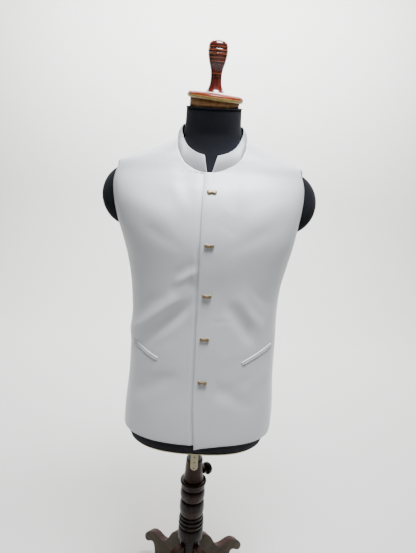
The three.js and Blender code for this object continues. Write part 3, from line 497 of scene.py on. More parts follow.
def grid_normals(grid):
    along = np.gradient(grid, axis=1)
    up = np.gradient(grid, axis=0)
    return unit(np.cross(along, up))


def even(points, step):
    """A line's points at even steps along it."""
    lengths = np.r_[0, np.cumsum(np.linalg.norm(np.diff(points, axis=0), axis=1))]
    places = np.linspace(0, lengths[-1], max(2, int(lengths[-1] / step)))
    return np.stack([np.interp(places, lengths, points[:, k]) for k in range(3)], 1)


def armhole_edge(side, part):
    """An armhole's edge on a front (part -1) or the back (part 1)."""
    z = np.linspace(ARMHOLE_BOTTOM_Z + 0.2, SHOULDER_TIP_Z - 0.2, 400)
    return surface(z, side * panel_edge_angle(z, part))


def seam_edges(side, part):
    """The side seam, the shoulder seam and the neckline of one side, front (-1) or back (1)."""
    low = np.linspace(HEM_Z, ARMHOLE_BOTTOM_Z, 120)
    high = np.linspace(SHOULDER_TIP_Z, float(neckline_z(SHOULDER_SEAM_ANGLE)), 60)
    neck_from, neck_to = (1, SHOULDER_SEAM_ANGLE) if part < 0 else (SHOULDER_SEAM_ANGLE, 180)
    turn = side * np.linspace(neck_from, neck_to, 200)
    neck = surface(neckline_z(turn), turn)
    return surface(low, side * SIDE_SEAM_ANGLE), surface(high, side * SHOULDER_SEAM_ANGLE), neck


def sewn_panel(grid, sides, part):
    """A panel with its armholes turned in and its seams pressed down."""
    for side in sides:
        grid = folded_edge(grid, armhole_edge(side, part))
        for seam in seam_edges(side, part):
            grid = folded_edge(grid, seam, 1, -SEAM_DIP)
    return grid


# Meshes


def make_object(name, verts, faces, materials, uvs=None, face_materials=None, smooth=True):
    mesh = bpy.data.meshes.new(name)
    mesh.from_pydata([tuple(v) for v in np.asarray(verts) * MM], [], faces)
    if uvs is not None:
        layer = mesh.uv_layers.new(name="UVMap")
        loops = np.zeros(len(mesh.loops), int)
        mesh.loops.foreach_get("vertex_index", loops)
        layer.data.foreach_set("uv", (np.asarray(uvs)[loops] * MM).astype(np.float32).ravel())
    for material in materials:
        mesh.materials.append(material)
    if face_materials is not None:
        mesh.polygons.foreach_set("material_index", face_materials)
    mesh.validate()
    if smooth:
        mesh.shade_smooth()
    obj = bpy.data.objects.new(name, mesh)
    bpy.context.scene.collection.objects.link(obj)
    return obj


def border_of(rows, columns):
    """The grid's border, anticlockwise from its first corner, and each one's inner neighbour."""
    loop = [(0, c) for c in range(columns - 1)]
    loop += [(r, columns - 1) for r in range(rows - 1)]
    loop += [(rows - 1, c) for c in range(columns - 1, 0, -1)]
    loop += [(r, 0) for r in range(rows - 1, 0, -1)]
    inner = [(min(max(r, 1), rows - 2), min(max(c, 1), columns - 2)) for r, c in loop]
    return np.array(loop), np.array(inner)


def arc_uv(grid):
    across = np.linalg.norm(np.diff(grid, axis=1), axis=-1)
    up = np.linalg.norm(np.diff(grid, axis=0), axis=-1)
    u = np.concatenate([np.zeros((grid.shape[0], 1)), np.cumsum(across, 1)], 1)
    u -= u[:, u.shape[1] // 2][:, None]
    v = np.concatenate([np.zeros((1, grid.shape[1])), np.cumsum(up, 0)], 0)
    return np.stack([u, v], -1)


def shell(name, grid, wall, material, roll=None, rim_material=None):
    """A thin closed shell under a grid of points, with a rounded rim."""
    rows, columns = grid.shape[:2]
    normals = grid_normals(grid)
    loop, inside = border_of(rows, columns)
    at = (loop[:, 0], loop[:, 1])
    outward = unit(grid[at] - grid[inside[:, 0], inside[:, 1]])
    roll = wall / 2 if roll is None else roll
    grid = grid.copy()
    grid[at] -= outward * roll
    uv = arc_uv(grid)
    inner = grid - normals * wall
    layers = []
    for turn in (45, 90, 135):
        out = roll * math.sin(math.radians(turn))
        down = wall / 2 * (1 - math.cos(math.radians(turn)))
        layers.append(grid[at] + outward * out - normals[at] * down)
    verts = np.concatenate([grid.reshape(-1, 3), inner.reshape(-1, 3), *layers])
    border_uv = uv[at]
    uvs = np.concatenate([uv.reshape(-1, 2), uv.reshape(-1, 2), border_uv, border_uv, border_uv])
    count = rows * columns
    number = np.arange(count).reshape(rows, columns)
    a = number[:-1, :-1].ravel()
    b = number[:-1, 1:].ravel()
    c = number[1:, 1:].ravel()
    d = number[1:, :-1].ravel()
    faces = np.stack([a, b, c, d], 1).tolist()
    faces += (np.stack([d, c, b, a], 1) + count).tolist()
    rim = number[at]
    n = len(rim)
    rings = [rim] + [2 * count + k * n + np.arange(n) for k in range(3)] + [rim + count]
    for upper, lower in zip(rings[:-1], rings[1:]):
        after_upper, after_lower = np.roll(upper, -1), np.roll(lower, -1)
        faces += np.stack([upper, lower, after_lower, after_upper], 1).tolist()
    materials = [material, rim_material or material]
    on_rim = [0] * (len(faces) - 4 * n) + [1] * (4 * n)
    return make_object(name, verts, faces, materials, uvs, on_rim)


def turned(name, profile, materials, segments=96, bevel=0.7):
    """A turned piece from its profile of radius and height."""
    profile = np.array(profile, float)
    turns = np.linspace(0, 2 * math.pi, segments, endpoint=False)
    verts, rings = [], []
    for radius, height in profile:
        if radius < 1e-6:
            rings.append([len(verts)])
            verts.append((0, 0, height))
        else:
            rings.append(list(range(len(verts), len(verts) + segments)))
            verts += [(radius * math.cos(t), radius * math.sin(t), height) for t in turns]
    faces = []
    for low, high in zip(rings[:-1], rings[1:]):
        for i in range(segments):
            j = (i + 1) % segments
            if len(low) == 1 and len(high) > 1:
                faces.append((low[0], high[j], high[i]))
            elif len(high) == 1 and len(low) > 1:
                faces.append((low[i], low[j], high[0]))
            elif len(low) > 1:
                faces.append((low[i], low[j], high[j], high[i]))
    obj = make_object(name, verts, faces, materials)
    if bevel:
        soften(obj, bevel)
    return obj


def settle(obj):
    """Puts an object's modifiers into its mesh."""
    graph = bpy.context.evaluated_depsgraph_get()
    mesh = bpy.data.meshes.new_from_object(obj.evaluated_get(graph))
    obj.modifiers.clear()
    old = obj.data
    obj.data = mesh
    bpy.data.meshes.remove(old)


def soften(obj, width, angle=28, segments=3):
    bevel = obj.modifiers.new("edges", "BEVEL")
    bevel.width = width * MM
    bevel.segments = segments
    bevel.limit_method = "ANGLE"
    bevel.angle_limit = math.radians(angle)
    bevel.harden_normals = False
    settle(obj)
    obj.data.shade_smooth()


def bead(low, high, inner, swell, steps=10):
    """The points of one round bead of a turned profile."""
    turn = np.linspace(0, math.pi, steps)
    heights = (low + high) / 2 - np.cos(turn) * (high - low) / 2
    return [(inner + swell * math.sin(t), h) for t, h in zip(turn, heights)]


def curved(points, steps=6):
    """A smooth run through profile points."""
    table = np.array([(i, *p) for i, p in enumerate(points)], float)
    places = np.linspace(0, len(points) - 1, (len(points) - 1) * steps + 1)
    return list(zip(read(table, places, 1), read(table, places, 2)))


def mapped(obj, matrix):
    """Puts a mesh in its place, with its object left at the origin."""
    move = Matrix(matrix)
    move.translation *= MM
    obj.data.transform(move)
    obj.data.update()
    return obj


# Materials


def hex_linear(code):
    parts = [int(code[i:i + 2], 16) / 255 for i in (0, 2, 4)]
    return (*[p / 12.92 if p <= 0.04045 else ((p + 0.055) / 1.055) ** 2.4 for p in parts], 1)


def new_material(name, color, roughness, **inputs):
    material = bpy.data.materials.new(name)
    material.use_nodes = True
    shader = material.node_tree.nodes["Principled BSDF"]
    shader.inputs["Base Color"].default_value = hex_linear(color)
    shader.inputs["Roughness"].default_value = roughness
    for key, value in inputs.items():
        shader.inputs[key.replace("_", " ")].default_value = value
    return material, material.node_tree, shader


def add(tree, kind, links=(), **settings):
    """A node with its settings; links are pairs of its input and the output or value it takes."""
    node = tree.nodes.new(kind)
    for key, value in settings.items():
        if hasattr(node, key):
            setattr(node, key, value)
        else:
            node.inputs[key.replace("_", " ")].default_value = value
    for target, source in links:
        if isinstance(source, bpy.types.NodeSocket):
            tree.links.new(source, node.inputs[target])
        else:
            node.inputs[target].default_value = source
    return node


# Inputs of the Mix node when it mixes colours: the factor and the two colours
MIX_FACTOR, MIX_FIRST, MIX_SECOND = 0, 6, 7
MIX_RESULT = 2


def wire_surface(tree, shader, tint, colors, relief=None, strength=0.0, depth=0.0):
    """Colours a shader between two colours after a pattern, and gives it a pattern's relief."""
    mix = add(tree, "ShaderNodeMix", data_type="RGBA", links=[
        (MIX_FACTOR, tint), (MIX_FIRST, hex_linear(colors[0])), (MIX_SECOND, hex_linear(colors[1]))])
    tree.links.new(mix.outputs[MIX_RESULT], shader.inputs["Base Color"])
    if relief:
        bump = add(tree, "ShaderNodeBump", [("Height", relief)], Strength=strength, Distance=depth)
        tree.links.new(bump.outputs["Normal"], shader.inputs["Normal"])


def suiting_material(name, color, shade):
    """Satin-weave suiting: long floats give a soft broad shine over faint diagonal threads.

    The threads are drawn about 1.1 mm apart, some five times as coarse as real ones.
    """
    material, tree, shader = new_material(
        name, color, 0.4, Sheen_Weight=0.2, Sheen_Roughness=0.4, Specular_IOR_Level=0.72)
    place = add(tree, "ShaderNodeTexCoord")
    mottle = add(tree, "ShaderNodeTexNoise", [("Vector", place.outputs["Object"])],
                 Scale=7.0, Detail=3.0, Roughness=0.5)
    warp = add(tree, "ShaderNodeTexWave", [("Vector", place.outputs["UV"])],
               wave_type="BANDS", bands_direction="DIAGONAL", Scale=420.0, Distortion=0.4)
    slub = add(tree, "ShaderNodeTexNoise", [("Vector", place.outputs["UV"])],
               Scale=900.0, Detail=2.0)
    weave = add(tree, "ShaderNodeMath", [(0, warp.outputs["Fac"]), (1, slub.outputs["Fac"])],
                operation="ADD")
    wire_surface(tree, shader, mottle.outputs["Fac"], (color, shade), weave.outputs[0], 0.22, 0.0002)
    return material


def jersey_material():
    """Cotton jersey: matt and nearly black, with knit ribs 1.2 mm apart, a short pile and lint."""
    material, tree, shader = new_material(
        "black jersey", "0b0c12", 0.92, Sheen_Weight=0.04, Sheen_Roughness=0.5, Specular_IOR_Level=0.2)
    place = add(tree, "ShaderNodeTexCoord")
    knit = add(tree, "ShaderNodeTexWave", [("Vector", place.outputs["Object"])],
               wave_type="BANDS", bands_direction="X", Scale=260.0, Distortion=1.2)
    pile = add(tree, "ShaderNodeTexNoise", [("Vector", place.outputs["Object"])],
               Scale=700.0, Detail=3.0)
    both = add(tree, "ShaderNodeMath", [(0, knit.outputs["Fac"]), (1, pile.outputs["Fac"])],
               operation="ADD")
    lint = add(tree, "ShaderNodeTexNoise", [("Vector", place.outputs["Object"])], Scale=14.0)
    wire_surface(tree, shader, lint.outputs["Fac"], ("090a0f", "10121a"), both.outputs[0], 0.35, 0.0003)
    return material


def wood_material(name, light, dark, roughness, coat, stretch=(14, 14, 1.2), specular=0.5):
    """Wood: grain streaks along the piece, under a coat of lacquer that can be thick or thin."""
    material, tree, shader = new_material(
        name, light, roughness, Coat_Weight=coat, Coat_Roughness=0.12, Specular_IOR_Level=specular)
    place = add(tree, "ShaderNodeTexCoord")
    scaled = add(tree, "ShaderNodeMapping", [("Vector", place.outputs["Object"])], Scale=stretch)
    grain = add(tree, "ShaderNodeTexNoise", [("Vector", scaled.outputs["Vector"])],
                Scale=9.0, Detail=6.0, Roughness=0.62)
    tone = add(tree, "ShaderNodeMapRange", [
        ("Value", grain.outputs["Fac"]), ("From Min", 0.35), ("From Max", 0.68)])
    wire_surface(tree, shader, tone.outputs["Result"], (light, dark), grain.outputs["Fac"], 0.12, 0.0006)
    return material


def metal_material(name, color, roughness, worn):
    """Metal worn by handling: small duller and darker spots over it."""
    material, tree, shader = new_material(name, color, roughness, Metallic=1.0)
    place = add(tree, "ShaderNodeTexCoord")
    spots = add(tree, "ShaderNodeTexNoise", [("Vector", place.outputs["Object"])],
                Scale=260.0, Detail=4.0)
    wire_surface(tree, shader, spots.outputs["Fac"], (color, worn))
    rough = add(tree, "ShaderNodeMapRange", [
        ("Value", spots.outputs["Fac"]),
        ("To Min", roughness * 0.8),
        ("To Max", min(1.0, roughness * 1.4)),
    ])
    tree.links.new(rough.outputs["Result"], shader.inputs["Roughness"])
    return material


def paint_material(name, color, worn):
    """Old enamel paint: even, half matt, and dirty in patches."""
    material, tree, shader = new_material(name, color, 0.5)
    place = add(tree, "ShaderNodeTexCoord")
    spots = add(tree, "ShaderNodeTexNoise", [("Vector", place.outputs["Object"])],
                Scale=90.0, Detail=5.0, Roughness=0.7)
    tone = add(tree, "ShaderNodeMapRange", [
        ("Value", spots.outputs["Fac"]), ("From Min", 0.5), ("From Max", 0.75)])
    wire_surface(tree, shader, tone.outputs["Result"], (color, worn))
    return material


# The collar is of the same cloth; its colours are darkened as painted shade, for the shade it takes
# standing upright under the light
SUITING = suiting_material("off-white satin suiting", "d2d4d6", "c7cacd")
COLLAR_PAINTED_SHADE_SUITING = suiting_material("off-white satin suiting, collar, painted shade", "999a9c", "8f9193")
THREAD = new_material("polyester thread", "d9dadb", 0.5, Sheen_Weight=0.2)[0]
JERSEY = jersey_material()

# Glossy lacquer mirrors the lamp; the stand's older, thinner coat doesn't
RED_LACQUER = wood_material("red-brown lacquered wood", "5f1c10", "3a0f09", 0.25, 0.9)
DISC_LACQUER = wood_material("orange-brown lacquered wood", "7c3018", "551c0e", 0.34, 0.12, specular=0.2)
BLACK_LACQUER = wood_material("black lacquer ring", "120b09", "1c100c", 0.25, 0.9)
AMBER_LACQUER = wood_material("amber lacquered wood", "96542c", "6f3519", 0.28, 0.8)
DARK_WOOD = wood_material("dark lacquered wood", "20130d", "110a07", 0.26, 0.05, specular=0.12)
BROWN_WOOD = wood_material("brown lacquered wood", "3a2417", "20130d", 0.3, 0.04, specular=0.13)

# Bare or stained wood is matt; boards have their grain along their length
RAW_WOOD = wood_material("raw turned wood", "b58350", "8f5f34", 0.62, 0.0)
RIM_WOOD = wood_material("yellow wood rim", "a98c45", "8a6a30", 0.5, 0.2)
BOARD = wood_material("pale board", "cfc39a", "b3a476", 0.6, 0.0, (2, 12, 12))
LEG_FACE = wood_material("grey-brown board", "4b4234", "3a3227", 0.6, 0.0, (3, 3, 14), 0.12)
LEG_EDGE = wood_material("stained leg edge", "36190f", "220f09", 0.5, 0.0, (3, 3, 14), 0.12)

GOLD = metal_material("antique gold metal", "ab9c80", 0.5, "7c6c50")
STEEL = metal_material("dark steel", "4a4b4e", 0.34, "2f3033")
CREAM = paint_material("cream painted steel", "b8b190", "8f886a")


# Jacket


def stitch_tree():
    """Lays short thread stitches along the lines of a mesh."""
    tree = bpy.data.node_groups.new("stitch row", "GeometryNodeTree")
    sockets = {}
    for name, kind, way in (
        ("Line", "NodeSocketGeometry", "INPUT"),
        ("Pitch", "NodeSocketFloat", "INPUT"),
        ("Stitch", "NodeSocketFloat", "INPUT"),
        ("Thickness", "NodeSocketFloat", "INPUT"),
        ("Thread", "NodeSocketMaterial", "INPUT"),
        ("Stitches", "NodeSocketGeometry", "OUTPUT"),
    ):
        sockets[name] = tree.interface.new_socket(name=name, in_out=way, socket_type=kind)
    entry = add(tree, "NodeGroupInput")
    line = add(tree, "GeometryNodeMeshToCurve", [("Mesh", entry.outputs["Line"])])
    spots = add(tree, "GeometryNodeCurveToPoints",
                [("Curve", line.outputs["Curve"]), ("Length", entry.outputs["Pitch"])], mode="LENGTH")
    turn = add(tree, "FunctionNodeAlignRotationToVector",
               [("Vector", spots.outputs["Tangent"])], axis="Z")
    ball = add(tree, "GeometryNodeMeshUVSphere", Segments=8, Rings=6, Radius=0.5)
    size = add(tree, "ShaderNodeCombineXYZ", [
        ("X", entry.outputs["Thickness"]),
        ("Y", entry.outputs["Thickness"]),
        ("Z", entry.outputs["Stitch"]),
    ])
    placed = add(tree, "GeometryNodeInstanceOnPoints", [
        ("Points", spots.outputs["Points"]),
        ("Instance", ball.outputs["Mesh"]),
        ("Rotation", turn.outputs["Rotation"]),
        ("Scale", size.outputs["Vector"]),
    ])
    real = add(tree, "GeometryNodeRealizeInstances", [("Geometry", placed.outputs["Instances"])])
    smooth = add(tree, "GeometryNodeSetShadeSmooth", [("Geometry", real.outputs["Geometry"])])
    finish = add(tree, "GeometryNodeSetMaterial", [
        ("Geometry", smooth.outputs["Geometry"]),
        ("Material", entry.outputs["Thread"]),
    ])
    leave = add(tree, "NodeGroupOutput")
    tree.links.new(finish.outputs["Geometry"], leave.inputs["Stitches"])
    return tree, {name: socket.identifier for name, socket in sockets.items()}


STITCH_TREE, STITCH_SOCKETS = stitch_tree()


def stitch_row(name, points, pitch=3.0, stitch=2.3, thickness=0.55):
    """A row of thread stitches along a line, in millimetres."""
    mesh = bpy.data.meshes.new(name)
    edges = [(i, i + 1) for i in range(len(points) - 1)]
    mesh.from_pydata([tuple(p) for p in np.asarray(points) * MM], edges, [])
    obj = bpy.data.objects.new(name, mesh)
    bpy.context.scene.collection.objects.link(obj)
    modifier = obj.modifiers.new("stitches", "NODES")
    modifier.node_group = STITCH_TREE
    for socket, value in (("Pitch", pitch), ("Stitch", stitch), ("Thickness", thickness)):
        modifier[STITCH_SOCKETS[socket]] = value * MM
    modifier[STITCH_SOCKETS["Thread"]] = THREAD
    settle(obj)
    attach(obj, "form")
    return obj


def armhole_line(side, inset, part):
    """A line a little inside an armhole's edge, on a front (part -1) or the back (part 1)."""
    turn = (1 - np.cos(np.linspace(0.02, math.pi - 0.02, 120))) / 2
    z = ARMHOLE_BOTTOM_Z + 2 * ARMHOLE_HALF_HEIGHT * turn
    degrees = panel_edge_angle(z, part)
    edge = surface(z, degrees)
    normal = surface_normal(z, degrees)
    inward = unit(np.cross(normal, unit(np.gradient(edge, axis=0)))) * -part
    line = edge + inward * inset
    z = line[:, 2]
    degrees = angle_at_y(z, line[:, 1])
    if part < 0:
        start = angle_at_x(z, opening_x(z, 1))
        share = (degrees - start) / (panel_edge_angle(np.clip(z, 0, SHOULDER_TIP_Z - 1), -1) - start)
        lift = front_lift(side, z, side * degrees, np.clip(share, 0, 1))
        points = moved_out(z, side * degrees, lift + EDGE_FOLD * 0.6)
    else:
        points = moved_out(z, side * degrees, np.full(len(z), EDGE_FOLD))
    return even(points, 2)


def grid_line(grid, rows, columns):
    """Points on a grid at places given as shares of its rows and columns."""
    r = np.clip(np.asarray(rows, float), 0, 1) * (grid.shape[0] - 1)
    c = np.clip(np.asarray(columns, float), 0, 1) * (grid.shape[1] - 1)
    r0 = np.minimum(r.astype(int), grid.shape[0] - 2)
    c0 = np.minimum(c.astype(int), grid.shape[1] - 2)
    fr, fc = (r - r0)[:, None], (c - c0)[:, None]
    low = grid[r0, c0] * (1 - fc) + grid[r0, c0 + 1] * fc
    high = grid[r0 + 1, c0] * (1 - fc) + grid[r0 + 1, c0 + 1] * fc
    return low * (1 - fr) + high * fr


def stands_in(obj, node, body):
    """A visible piece takes the place of a node and moves with its body."""
    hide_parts(node)
    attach(obj, body)


def cloth_piece(name, grid, wall, material, rim_material=None):
    obj = shell("cloth_" + name, grid, wall, material, None, rim_material)
    stands_in(obj, name, "form")


left_grid = sewn_panel(front_grid(1), (1,), -1)
right_grid = sewn_panel(front_grid(-1), (-1,), -1)
whole_back = sewn_panel(back_grid(), (-1, 1), 1)
collar = collar_grid()


WELT_PUFF, WELT_LIFT = 1.5, 0.5
WELT_WALL, WELT_ROLL = 1.0, 0.3


def welt(side, place):
    """One narrow welt of a pocket: a rounded strip on its front, along a slanted line."""
    outer, inner = np.array(POCKET_OUTER[side], float), np.array(POCKET_INNER, float)
    line = inner - outer
    across = np.array([-line[1], line[0]]) / np.hypot(*line)
    across *= np.sign(across[1])
    share = np.linspace(0, 1, 50)
    ends = np.sqrt(np.clip(1 - (2 * share - 1) ** 24, 0, 1))
    rows = []
    for step in np.linspace(-0.5, 0.5, 9):
        distance = place * (SEAM_GAP / 2 + WELT_WIDTH / 2) + step * WELT_WIDTH
        x = outer[0] + line[0] * share + across[0] * distance
        z = outer[1] + line[1] * share + across[1] * distance
        degrees = angle_at_x(z, side * x)
        start = angle_at_x(z, opening_x(z, side))
        panel_share = (degrees - start) / (side * panel_edge_angle(z, -1) - start)
        puff = WELT_PUFF * math.sqrt(max(0, 1 - (2 * step) ** 2)) + WELT_LIFT
        lift = front_lift(side, z, degrees, panel_share) + puff * (0.25 + 0.75 * ends)
        rows.append(moved_out(z, degrees, lift))
    grid = np.array(rows)
    return grid[:, ::-1] if side > 0 else grid


def pocket(side, word):
    """A double-welt pocket's two strips."""
    strips = []
    for place, level in ((1, "upper"), (-1, "lower")):
        node = f"pocket_welt_{level}_{word}"
        strips.append(shell("cloth_" + node, welt(side, place), WELT_WALL, SUITING, WELT_ROLL))
        stands_in(strips[-1], node, "form")
    return strips


STITCH_INSET = 9
PLACKET_STITCH_INSET = 6
COLLAR_STITCH_SIDE = 0.0075
COLLAR_STITCH_LOW, COLLAR_STITCH_TOP = 0.06, 0.92
BUTTONHOLE_HALF_LENGTH, BUTTONHOLE_HALF_HEIGHT, BUTTONHOLE_RAISED = 11.5, 2.2, 2.4


def placket_line():
    z = np.linspace(HEM_Z + 6, FRONT_NECK_Z - 2, 320)
    degrees = angle_at_x(z, placket_edge_x(z) + PLACKET_STITCH_INSET)
    return even(moved_out(z, degrees, front_lift(1, z, degrees, np.zeros(len(z))) + 0.1), 2)


def collar_line():
    """Up one end of the collar, along its top edge and down the other end."""
    rise = np.linspace(COLLAR_STITCH_LOW, COLLAR_STITCH_TOP, 30)
    near, far = COLLAR_STITCH_SIDE, 1 - COLLAR_STITCH_SIDE
    line = np.concatenate([
        grid_line(collar, rise, np.full(30, near)),
        grid_line(collar, np.full(400, COLLAR_STITCH_TOP), np.linspace(near, far, 400)),
        grid_line(collar, rise[::-1], np.full(30, far)),
    ])
    return even(line + unit(line * (1, 1, 0)) * 0.15, 2)


def buttonhole(z):
    """The stitched ring of a buttonhole under a bar button."""
    turn = np.linspace(0, 2 * math.pi, 90)
    along = np.sign(np.cos(turn)) * np.abs(np.cos(turn)) ** 0.5
    x = placket_edge_x(z) + BUTTON_INSET + BUTTONHOLE_HALF_LENGTH * along
    height = z + BUTTONHOLE_RAISED + BUTTONHOLE_HALF_HEIGHT * np.sin(turn)
    degrees = angle_at_x(height, x)
    return even(moved_out(height, degrees, front_lift(1, height, degrees, np.zeros(90)) + 0.2), 1)


left_rows, right_rows = pocket(1, "left"), pocket(-1, "right")
for side, word, rows_of in ((1, "left", left_rows), (-1, "right", right_rows)):
    rows_of.append(stitch_row(f"stitches_armhole_{word}", armhole_line(side, STITCH_INSET, -1)))
    stitch_row(f"stitches_back_armhole_{word}", armhole_line(side, STITCH_INSET, 1))
left_rows.append(stitch_row("stitches_placket", placket_line(), thickness=0.45))
collar_rows = [stitch_row("stitches_collar", collar_line())]
for count, z in enumerate(BUTTON_HEIGHTS, 1):
    left_rows.append(stitch_row(f"stitches_buttonhole_{count}", buttonhole(z), 0.75, 1.1, 0.7))

cloth_piece("front_right", right_grid, CLOTH_WALL, SUITING)
cloth_piece("front_left", left_grid, CLOTH_WALL, SUITING)
cloth_piece("back", whole_back, CLOTH_WALL, SUITING)
# The collar's darker colour is painted shade; its rim keeps the plain cloth's colour
cloth_piece("collar", collar, COLLAR_WALL, COLLAR_PAINTED_SHADE_SUITING, SUITING)


BUTTON_LENGTH, BUTTON_LOBE, BUTTON_WAIST = 21.5, 4.6, 3.4

# A button's domed section: the share of its outline and the height
BUTTON_LEVELS = ((0.86, 0), (0.97, 0.5), (1, 1.3), (0.98, 2.2), (0.9, 3), (0.72, 3.5), (0.4, 3.8))


def bar_button(name, z):
    """A metal bar with two round lobes and a narrower waist, its face softly domed."""
    x = BUTTON_LENGTH / 2 * np.sin(np.linspace(-1, 1, 61) * math.pi / 2)
    reach = BUTTON_LENGTH / 2 - BUTTON_LOBE
    beyond = np.maximum(np.abs(x) - reach, 0)
    round_end = np.sqrt(np.maximum(BUTTON_LOBE**2 - beyond**2, 0))
    neck = BUTTON_WAIST + (BUTTON_LOBE - BUTTON_WAIST) * smooth_step(1.5, reach, np.abs(x))
    half = np.where(np.abs(x) > reach, round_end, neck)
    n = len(x)
    ring = 2 * n - 2
    outline = [(x[i], half[i]) for i in range(n)] + [(x[i], -half[i]) for i in range(n - 2, 0, -1)]
    verts, faces = [], []
    for share, height in BUTTON_LEVELS:
        length_share = 1 - (1 - share) * BUTTON_LOBE / (BUTTON_LENGTH / 2)
        verts += [(along * length_share, across * share, height) for along, across in outline]
    for low in range(0, ring * (len(BUTTON_LEVELS) - 1), ring):
        for i in range(ring):
            j = (i + 1) % ring
            faces.append((low + j, low + i, low + ring + i, low + ring + j))
    top = (len(BUTTON_LEVELS) - 1) * ring
    for i in range(n - 1):
        strip = (i, i + 1, ring - i - 1 if i < n - 2 else i + 1, (ring - i) % ring)
        face = list(dict.fromkeys((strip[0], strip[3], strip[2], strip[1])))
        faces.append(tuple(top + v for v in face))
        faces.append(tuple(face[::-1]))
    obj = make_object(name, verts, faces, [GOLD])
    place_x = float(placket_edge_x(z)) + BUTTON_INSET
    degrees = float(angle_at_x(z, place_x))
    normal = surface_normal(z, degrees)
    seat = moved_out(z, degrees, np.array(LAP_LIFT + 0.5))
    level = unit(np.cross((0, 0, 1), normal))
    upward = np.cross(normal, level)
    matrix = Matrix.Identity(4)
    for row in range(3):
        matrix[row][0], matrix[row][1], matrix[row][2] = level[row], upward[row], normal[row]
        matrix[row][3] = seat[row]
    return mapped(obj, matrix)


for count, z in enumerate(BUTTON_HEIGHTS, 1):
    button = bar_button(f"bar_button_{count}", z)
    stands_in(button, f"button_{count}", "form")


# Dress form

COLUMNS = 120
PANEL_THICK = 2
TORSO_Z = (*np.linspace(FORM_BOTTOM_Z + 0.5, 1172, 60), 1183, 1194, 1202, 1214, 1222)
SHOULDER_Z = (1150, 1172, 1183, 1194, 1202, 1214, 1222, 1230, 1240, 1248)
SHOULDER_UNDER_NECKLINE = 5
SHOULDER_CAP_X = 185
SHOULDER_CAP_YZ = (1, 1116)
SHOULDER_CAP_RADII = (73, 45, 75)
NECK_ROOT_INSET, NECK_ROOT_DROP = 3.9, 4
NECK_CORE_INSET, NECK_CORE_DROPS = 5.9, (40, 26)
NECK_HOLLOW = 9
BODY_VOXEL, BODY_VOXEL_QUICK = 4.2, 9


def form_ring(z):
    """The form's outline at a height: the jacket's surface less the cloth and its ease."""
    inset = PANEL_THICK + read(EASE, z, 1)
    drop = SHOULDER_DROP * smooth_step(FRONT_NECK_Z - 20, SHOULDER_TIP_Z, z)
    degrees = np.arange(COLUMNS) * 360 / COLUMNS
    level = surface_normal(np.full(COLUMNS, float(z)), degrees)
    level[:, 2] = 0
    ring = surface(z, degrees) - unit(level) * inset
    ring[:, 2] -= drop
    return ring


def ring_in_neckline(inset, drop):
    degrees = np.arange(COLUMNS) * 360 / COLUMNS
    ring = neckline_towards(degrees)
    ring[:, 0] -= inset * np.sin(np.radians(degrees))
    ring[:, 1] += inset * np.cos(np.radians(degrees))
    ring[:, 2] -= drop
    return ring


def neck_ring(height, half, depth, centre, tilt):
    turn = np.arange(COLUMNS) * 2 * math.pi / COLUMNS
    y = -depth * np.cos(turn)
    return np.stack([half * np.sin(turn), centre + y, height + y * math.tan(math.radians(tilt))], -1)


def neck_rings():
    """The neck's rings, from inside the torso, hollowed above its root, to its tilted top."""
    root = ring_in_neckline(NECK_ROOT_INSET, NECK_ROOT_DROP)
    first = neck_ring(*NECK_SECTIONS[0])
    rings = [ring_in_neckline(NECK_CORE_INSET, drop) for drop in NECK_CORE_DROPS] + [root]
    for share in np.linspace(0.12, 0.88, 7):
        between = root + (first - root) * share
        reach = np.hypot(between[:, 0], between[:, 1])
        between[:, :2] *= (1 - NECK_HOLLOW * math.sin(math.pi * share) / reach)[:, None]
        rings.append(between)
    rows = np.array(NECK_SECTIONS, float)
    for z in np.linspace(NECK_SECTIONS[0][0], NECK_TOP_Z, 14):
        rings.append(neck_ring(z, *[read(rows, z, k) for k in (1, 2, 3, 4)]))
    return rings


def shoulder_rings():
    """The form's shoulders, kept under the neckline."""
    rings = [form_ring(z) for z in SHOULDER_Z]
    for ring in rings:
        direction = np.degrees(np.arctan2(ring[:, 0], -ring[:, 1])) % 360
        limit = neckline_towards(direction)[:, 2] - SHOULDER_UNDER_NECKLINE
        ring[:, 2] = np.minimum(ring[:, 2], limit)
    return rings


def ring_mesh(rings):
    """A closed skin through rings, with its two ends filled."""
    count = len(rings[0])
    verts = [tuple(p) for ring in rings for p in ring]
    faces = []
    for r in range(len(rings) - 1):
        for c in range(count):
            d = (c + 1) % count
            faces.append((r * count + c, r * count + d, (r + 1) * count + d, (r + 1) * count + c))
    faces.append(tuple(range(count - 1, -1, -1)))
    faces.append(tuple((len(rings) - 1) * count + i for i in range(count)))
    return verts, faces


def ellipsoid(centre, radii, segments=64, rings=40):
    turn = np.arange(segments) * 2 * math.pi / segments
    loops = []
    for lat in np.linspace(-math.pi / 2, math.pi / 2, rings + 1)[1:-1]:
        loops.append(np.stack([
            centre[0] + radii[0] * np.cos(turn) * math.cos(lat),
            centre[1] + radii[1] * np.sin(turn) * math.cos(lat),
            np.full(segments, centre[2] + radii[2] * math.sin(lat)),
        ], -1))
    return ring_mesh(loops)


def joined(parts):
    verts, faces = [], []
    for more_verts, more_faces in parts:
        first = len(verts)
        verts += list(more_verts)
        faces += [tuple(i + first for i in face) for face in more_faces]
    return verts, faces


